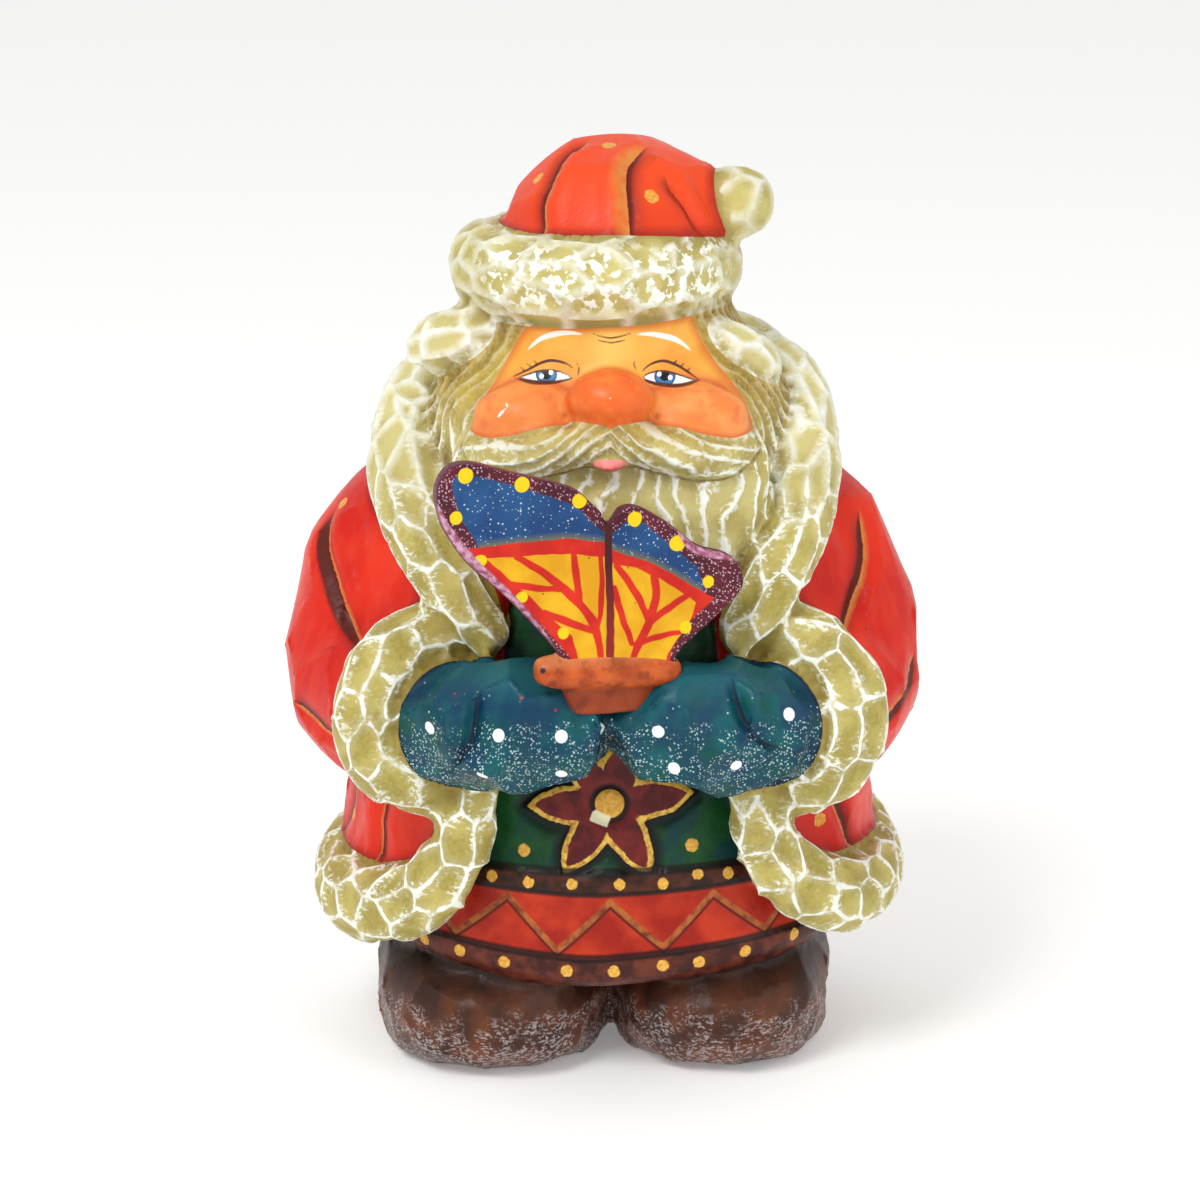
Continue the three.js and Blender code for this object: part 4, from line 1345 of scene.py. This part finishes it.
# hair, beard and moustache: yellow locks beside the face, and below them khaki strands with white along
# their ridges, painted shade in the hollows, and a dark broken line under the moustache that is its painted
# shadow
upper = wood.ramp(height, 87, 94)
thread = wood.ramp(wood.math("SUBTRACT", edge, wood.math("MULTIPLY", uneven, 0.9)), 0.15, -0.04)
thread = wood.both(thread, wood.ramp(wood.mottle(1.5, 0.36, 0.6), 0.1, 0.4, 0.3, 1))
whitened = wood.either(thread, wood.both(wood.mottle(0.9, 0.52, 0.58), wood.ramp(edge, 1, 0.3), 0.85))
# the white is held out of the hollows, partly as painted shade
whitened = wood.both(whitened, wood.ramp(recess, 0.6, 0.15, 0.3, 1), wood.ramp(upper, 0, 1, 1, 0.2))
# under: a painted shadow, a dark broken line just below the moustache's edge
under = wood.ramp(wood.away(wood.read("moustache"), -0.45), 0.55, 0.2)
strand = wood.layers(
    wood.mix(patches, paint(176, 160, 88), paint(198, 186, 120)),
    (upper, wood.mix(patches, paint(162, 130, 34), paint(190, 162, 60))),
    # painted shade in the hollows
    (wood.ramp(recess, 0.08, 0.5), paint(112, 88, 34)),
    (wood.both(fine, 0.25), paint(206, 198, 150)),
    (whitened, WHITE_PAINT),
    (wood.both(under, wood.mottle(2.4, 0.36, 0.56, shift=0.05), 0.8), paint(116, 84, 44)),
)

# face: warm washes, redder on the cheeks and nose, a painted highlight down the middle of the brow, painted
# shade in the hollows and along its border, with the eyes and brows drawn on
on_cheeks = wood.read("blush")
on_nose = wood.read("nose")
in_iris = wood.within("iris", -0.03, 0.05)
skin_paint = wood.layers(
    wood.mix(wood.mottle(5, 0.4, 0.62), paint(230, 154, 58), paint(240, 172, 72)),
    # painted highlight down the middle of the brow
    (wood.both(wood.read("brow_highlight"), 0.85), paint(248, 202, 104)),
    (wood.both(on_cheeks, 0.9), wood.mix(patches, paint(234, 130, 66), paint(242, 148, 82))),
    (wood.both(wood.mottle(2.4, 0.56, 0.7), on_cheeks, 0.4), paint(222, 84, 66)),
    (on_nose, wood.mix(patches, paint(230, 102, 42), paint(238, 126, 54))),
    (wood.both(wood.specks(1.3, 0.14, 0.3), on_nose), paint(248, 226, 204)),
    # painted shade in the hollows
    (wood.ramp(recess, 0.1, 0.5), paint(196, 72, 38)),
    # painted shade along the skin's border, under the hat band and the hair
    (wood.within("skin", 1.2, 0.05, 0, 0.6), paint(192, 76, 34)),
    (wood.within("brows", -0.04, 0.06), paint(246, 240, 232)),
    (wood.within("eye_white", -0.03, 0.04), paint(244, 246, 244)),
    (in_iris, paint(70, 128, 176)),
    (wood.both(wood.within("iris", 0.3, 0.05), in_iris), paint(40, 76, 120)),
    (wood.within("pupil", -0.04, 0.05), paint(26, 28, 34)),
    (wood.within("lines", -0.06, 0.04), paint(92, 48, 36)),
    (wood.within("glint", -0.03, 0.04), paint(255, 255, 255)),
)

# the lip is pink, lighter towards its top as a painted highlight
lip_red_and_highlight = wood.mix(wood.ramp(height, 86.8, 87.6), paint(222, 92, 96), paint(246, 142, 138))
colour = wood.layers(
    fur_paint,
    (wood.within("boots"), leather),
    (wood.within("coat"), red),
    (wood.within("tunic"), skirt),
    (wood.within("mittens"), teal),
    (wood.within("hair"), strand),
    (wood.within("skin"), skin_paint),
    (wood.within("lip", -0.1, 0.1), lip_red_and_highlight),
)
matt = wood.either(wood.within("fur", -0.3, 0.3), wood.within("hair", -0.3, 0.3))
roughness = wood.math("MULTIPLY_ADD", wood.mottle(1.5, 0.3, 0.7), 0.14, wood.ramp(matt, 0, 1, 0.3, 0.48))
wood.lay_on(colour, roughness, strength=0.45, depth=0.1)

figure_mesh.transform(Matrix.Translation(Vector(AXIS) * MM) @ Matrix.Scale(MM, 4))
figure_mesh.shade_smooth()
figure_mesh.materials.append(wood.material)
figure = bpy.data.objects.new("carved_figure", figure_mesh)
bpy.context.scene.collection.objects.link(figure)
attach(figure, "root")
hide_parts("santa_figure")

# The butterfly: a small plate of wood, cut to the outline of four joined wings and rounded at its edges, on
# a roll-shaped body with a short foot. It is made apart, painted on both sides, and glued on the mittens.
WING_PLACE = (0, -36.8, 61.5)
WING_TURN = math.radians(16)
WING_THICKNESS = 3
WING_ROUNDING = 0.55
WING_OUTLINE = [
    (-5, -0.4), (-6.6, 2.4), (-12.8, 9.7), (-18.9, 15.6), (-22.3, 20.6), (-23.4, 25.4), (-21.7, 28.5),
    (-18.4, 29), (-12.2, 27.2), (-5.4, 25), (-2.4, 22.6), (-0.3, 20.3), (1.3, 22), (4.2, 21.8), (8.9, 18.6),
    (11.6, 16.3), (15.8, 14.8), (17.8, 12.2), (16.7, 9.1), (9.4, 2.8), (7, -0.4),
]
FLY_BODY = [(-10.2, 0, 1, 1.5, 1.5), (-7, 0, 0.6, 2.6, 2.3), (0, 0, 0.3, 2.9, 2.4), (6.5, 0, -0.2, 2.6, 2.2),
            (9.3, 0, -0.7, 1.6, 1.5)]
FLY_FOOT = [(-5.3, 5.4, -1.3, 2.6), (-3.6, 6.3, -1.3, 2.8), (-0.4, 7.6, -1.2, 2.8)]
FLY_FOOT_ASIDE = 0.5
FLY_GRAIN = 0.27


def closed_line(stations, per=5):
    """A smooth closed outline through its stations."""
    stations = np.array(stations, float)
    count = len(stations)
    wrapped = np.array([stations[i % count] for i in range(-3, count + 4)])
    last = len(wrapped) - 1
    return np.array([along(wrapped, (3 + i / per) / last) for i in range(count * per)])


wing_line = closed_line(WING_OUTLINE)
wings = plate(wing_line, -WING_THICKNESS / 2, WING_THICKNESS)
rims = [e for e in wings.edges if abs(e.verts[0].co.y - e.verts[1].co.y) < 0.1]
bmesh.ops.bevel(wings, geom=rims, offset=WING_ROUNDING, offset_type="OFFSET", affect="EDGES", segments=2,
                profile=0.5, material=-1)
bmesh.ops.triangulate(wings, faces=wings.faces)
foot = standing(FLY_FOOT, x=FLY_FOOT_ASIDE, square=3)
fly_parts = [wings, roll(FLY_BODY, level=True), foot]
butterfly = one_skin(joined(fly_parts), FLY_GRAIN, passes=3)
reach_wings = reach_of([wings], places(butterfly))
reach_body = reach_of(fly_parts[1:], places(butterfly))

# the edge of the front is cut away at a slant along the lower left and the upper right
points = places(butterfly)
normals = outward(butterfly)
flat = points[:, [0, 2]]
rim = inside(flat, wing_line)
SLANTS = [
    [(-23.2, 24), (-22.3, 20.6), (-18.9, 15.6), (-12.8, 9.7), (-7.5, 3.6)],
    [(8.4, 19.4), (10.2, 17.9), (11.9, 16.8), (15.6, 15.4), (17, 14.2)],
]
slant = np.full(len(points), -FAR)
for line, wide in zip(SLANTS, (1.5, 1.9)):
    slant = np.maximum(slant, brushed(flat, line, 0.6, 2 * wide))
on_wing = blend_in(reach_body - reach_wings, 0, 0.6)
is_front = points[:, 1] < 0
push(butterfly, np.tile([0.0, 1.0, 0.0], (len(points), 1)), np.clip(slant, 0, 2) * 0.75 * on_wing * is_front)

MID_LINE = [(-0.7, 21.5), (-0.7, 16.9), (-0.6, 12.9), (-0.4, 8.8), (-0.5, 2.5)]
middle = brushed(flat, MID_LINE, 1.0, 1.15)
push(butterfly, normals, -0.3 * blend_in(middle, -0.5, 0.3) * on_wing)
wave = np.array([noise.noise(Vector(p) / 3.5) for p in points])
push(butterfly, normals, wave * 0.12)

# the wings' pattern: a dark border with yellow dots, a blue field, a red band, and yellow cells between red
# veins. The back of the wings carries the same pattern.
BLUE_FOOT = [
    [(-24, 17.6), (-18.7, 18.1), (-14.2, 18.4), (-10.7, 18.5), (-7.3, 18.6), (-5.5, 18.5), (-0.8, 17.7)],
    [(-0.8, 17), (0, 16.6), (1.7, 15.9), (4.6, 14.9), (7.6, 13.2), (10.5, 11.3), (13.6, 9.4), (18, 6.5)],
]
YELLOW_TOP = [
    [(-24, 16.5), (-16.7, 16.7), (-13.3, 16.6), (-10.2, 16.7), (-5.5, 16.5), (-0.8, 15.7)],
    [(-0.8, 15.1), (0, 14.8), (3.2, 14.1), (4.9, 13), (6.1, 12.5), (9.1, 10.5), (11.4, 8.7), (18, 4)],
]
YELLOW = [(-17.2, 16.9), (-13.3, 13), (-11.3, 11.3), (-9, 8.7), (-5.6, 5.6), (-4.4, 1), (6.8, 1), (7.3, 2.2),
          (8.8, 4.4), (10.4, 6.6), (11.2, 9.4), (11, 20), (-17, 22)]
BLUE = [(-21, 27.6), (-21.3, 25.3), (-20, 21.6), (-17.6, 17), (-17, 10), (10.8, 2), (11.8, 12.3),
        (10.4, 14.3), (8.6, 16), (4, 20), (1.5, 20.3), (-0.8, 18.6), (-3.5, 21.2), (-6, 23.2), (-12.2, 25.6),
        (-18, 27.4)]
VEINS = [
    ([(-13, 16.6), (-9.6, 14.4), (-7, 12.2), (-5.1, 10.3), (-3.2, 7.9), (-2.3, 5.8), (-1.8, 2.6)], 1.1),
    ([(-7.3, 11.9), (-11.3, 12.5), (-13.6, 13.1)], 0.9),
    ([(-5.5, 16.8), (-5.1, 13.8), (-4.6, 10)], 0.95),
    ([(-1.9, 17), (-1.6, 13), (-1.8, 8.9), (-2.5, 5.5)], 0.75),
    ([(-9.4, 9), (-6.1, 7.5), (-2.8, 6.1)], 1.0),
    ([(2.6, 2.2), (3.5, 4.2), (4.7, 6.5), (5.5, 9), (5.7, 11), (5.2, 14)], 1.15),
    ([(5, 6.7), (7.6, 8.6), (10.6, 10.4)], 0.95),
    ([(4.5, 7.3), (3.5, 9.7), (2, 12.4), (0.3, 14.6)], 0.95),
    ([(2.5, 4), (1.1, 7.6), (0.1, 11.6)], 0.85),
    ([(3.2, 3.9), (5.6, 4.6), (9, 5.1)], 0.8),
]
WING_DOTS = [(-19.6, 27.6, 1.0), (-12.2, 26, 1.0), (-4.6, 23.4, 0.97), (-20.9, 22.2, 0.88),
             (-17.7, 16.4, 0.85), (-12.3, 11.2, 0.78), (-6.8, 6.1, 0.78), (2.8, 20.6, 0.97), (8.6, 17, 1.08),
             (12.8, 11.6, 0.8), (9.7, 5.7, 0.85)]
MIDDLE = -0.8


def above(flat, lines):
    """Height over a border that is drawn in two pieces, left and right of the middle."""
    left, right = (np.array(line) for line in lines)
    over_left = flat[:, 1] - np.interp(flat[:, 0], left[:, 0], left[:, 1])
    over_right = flat[:, 1] - np.interp(flat[:, 0], right[:, 0], right[:, 1])
    return np.where(flat[:, 0] < MIDDLE, over_left, over_right * 0.86)


points = places(butterfly)
flat = points[:, [0, 2]] + wandering(points, 1.6, 0.12)[:, :2]
veins = np.full(len(points), -FAR)
for line, wide in VEINS:
    veins = np.maximum(veins, brushed(flat, line, 0.8 * wide, 1.05 * wide))
fly_paint = {
    "over_blue": above(flat, BLUE_FOOT),
    "over_yellow": above(flat, YELLOW_TOP),
    "blue": np.minimum(inside(flat, closed_line(BLUE, 2)), rim - 1.1),
    "yellow": inside(flat, YELLOW),
    "veins": veins,
    "middle": brushed(flat, MID_LINE, 1.15, 1.0),
    "yellow_dots": np.max([r - np.hypot(flat[:, 0] - u, flat[:, 1] - w) for u, w, r in WING_DOTS], axis=0),
    "rim": rim,
    "dark_rim": rim - 1.5 * blend_in(flat[:, 0], 6, 11),
    "slant": np.where(is_front, slant, -FAR),
    "body": reach_wings - reach_body,
    "eye_spot": 0.42 - np.linalg.norm(points - (-9.6, -1.6, 1.3), axis=1),
}
butterfly_mesh = bpy.data.meshes.new("painted_butterfly")
butterfly.to_mesh(butterfly_mesh)
# how deep each point lies in a hollow, for the painted shade there
fly_paint["recess"] = recesses(butterfly_mesh, points, 14, normals)
for name, values in fly_paint.items():
    keep(butterfly_mesh, name, values)

wing = Finish("painted_wings")
soft = wing.mottle(5, 0.4, 0.62)
spatter = wing.either(wing.specks(0.45, 0.36, 0.55), wing.specks(0.32, 0.36, 0.5, shift=0.03))
light_spatter = wing.either(wing.specks(0.55, 0.26, 0.34), wing.specks(0.32, 0.3, 0.2, shift=0.03))
border = wing.layers(
    wing.mix(soft, paint(70, 18, 34), paint(94, 26, 40)),
    (wing.both(spatter, 0.75), paint(206, 178, 190)),
)
blue = wing.layers(
    wing.mix(soft, paint(24, 62, 112), paint(34, 80, 130)),
    (wing.both(light_spatter, 0.85), paint(206, 216, 214)),
)
yellow = wing.layers(
    wing.mix(soft, paint(212, 150, 10), paint(228, 174, 24)),
    (wing.specks(1.2, 0.12, 0.2, shift=0.01), paint(90, 50, 20)),
)
red_band = wing.mix(soft, paint(188, 28, 16), paint(212, 44, 24))
mauve = wing.mix(wing.mottle(0.9, 0.4, 0.62), paint(150, 74, 100), paint(206, 156, 182))
mid_paint = wing.mix(wing.ramp(wing.height, 66, 76), paint(140, 30, 30), paint(70, 16, 26))
greenish = wing.both(wing.within("over_blue", 1.0, 0.1), wing.within("blue", 0, 0.4), 0.6)
on_yellow = wing.both(wing.within("over_yellow", 0.06, -0.06), wing.within("yellow"),
                      wing.within("veins", 0.06, -0.06))
pattern = wing.layers(
    border,
    (wing.within("blue", -0.05, 0.08), blue),
    (greenish, paint(120, 118, 58)),
    (wing.within("over_blue", 0.06, -0.06), wing.mix(wing.within("dark_rim", 0.55, 0.95), border, red_band)),
    (on_yellow, yellow),
    (wing.within("middle", -0.05, 0.06), mid_paint),
    (wing.within("yellow_dots", -0.05, 0.06), paint(236, 198, 14)),
    (wing.within("slant", 0.2, 0.4), mauve),
    (wing.within("rim", 0.22, 0.05, 0, 0.8), paint(96, 34, 56)),
)
clay = wing.layers(
    wing.mix(wing.mottle(2.4, 0.4, 0.62), paint(164, 66, 26), paint(200, 92, 38)),
    # painted highlight along the top of the roll
    (wing.ramp(wing.height, 62.6, 64.2, 0, 0.6), paint(226, 148, 96)),
    # painted shade in the hollows, as between the roll and the foot
    (wing.within("recess", 0.06, 0.3), paint(92, 38, 20)),
    # painted shade: the foot darker under the roll
    (wing.ramp(wing.height, 60.2, 59.4, 0, 0.75), paint(124, 48, 24)),
    (wing.both(wing.mottle(2.4, 0.56, 0.66, shift=0.05), 0.5), paint(96, 40, 18)),
    (wing.within("eye_spot", -0.05, 0.08), paint(44, 40, 46)),
)
roughness = wing.math("MULTIPLY_ADD", wing.mottle(0.5, 0.3, 0.7), 0.15, 0.3)
wing.lay_on(wing.mix(wing.within("body", -0.04, 0.04), pattern, clay), roughness, strength=0.3, depth=0.06)

stand = Matrix.Translation((Vector(AXIS) + Vector(WING_PLACE)) * MM) @ Matrix.Rotation(WING_TURN, 4, "Z")
butterfly_mesh.transform(stand @ Matrix.Scale(MM, 4))
butterfly_mesh.shade_smooth()
butterfly_mesh.materials.append(wing.material)
fly = bpy.data.objects.new("carved_butterfly", butterfly_mesh)
bpy.context.scene.collection.objects.link(fly)
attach(fly, "root")
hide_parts("butterfly")
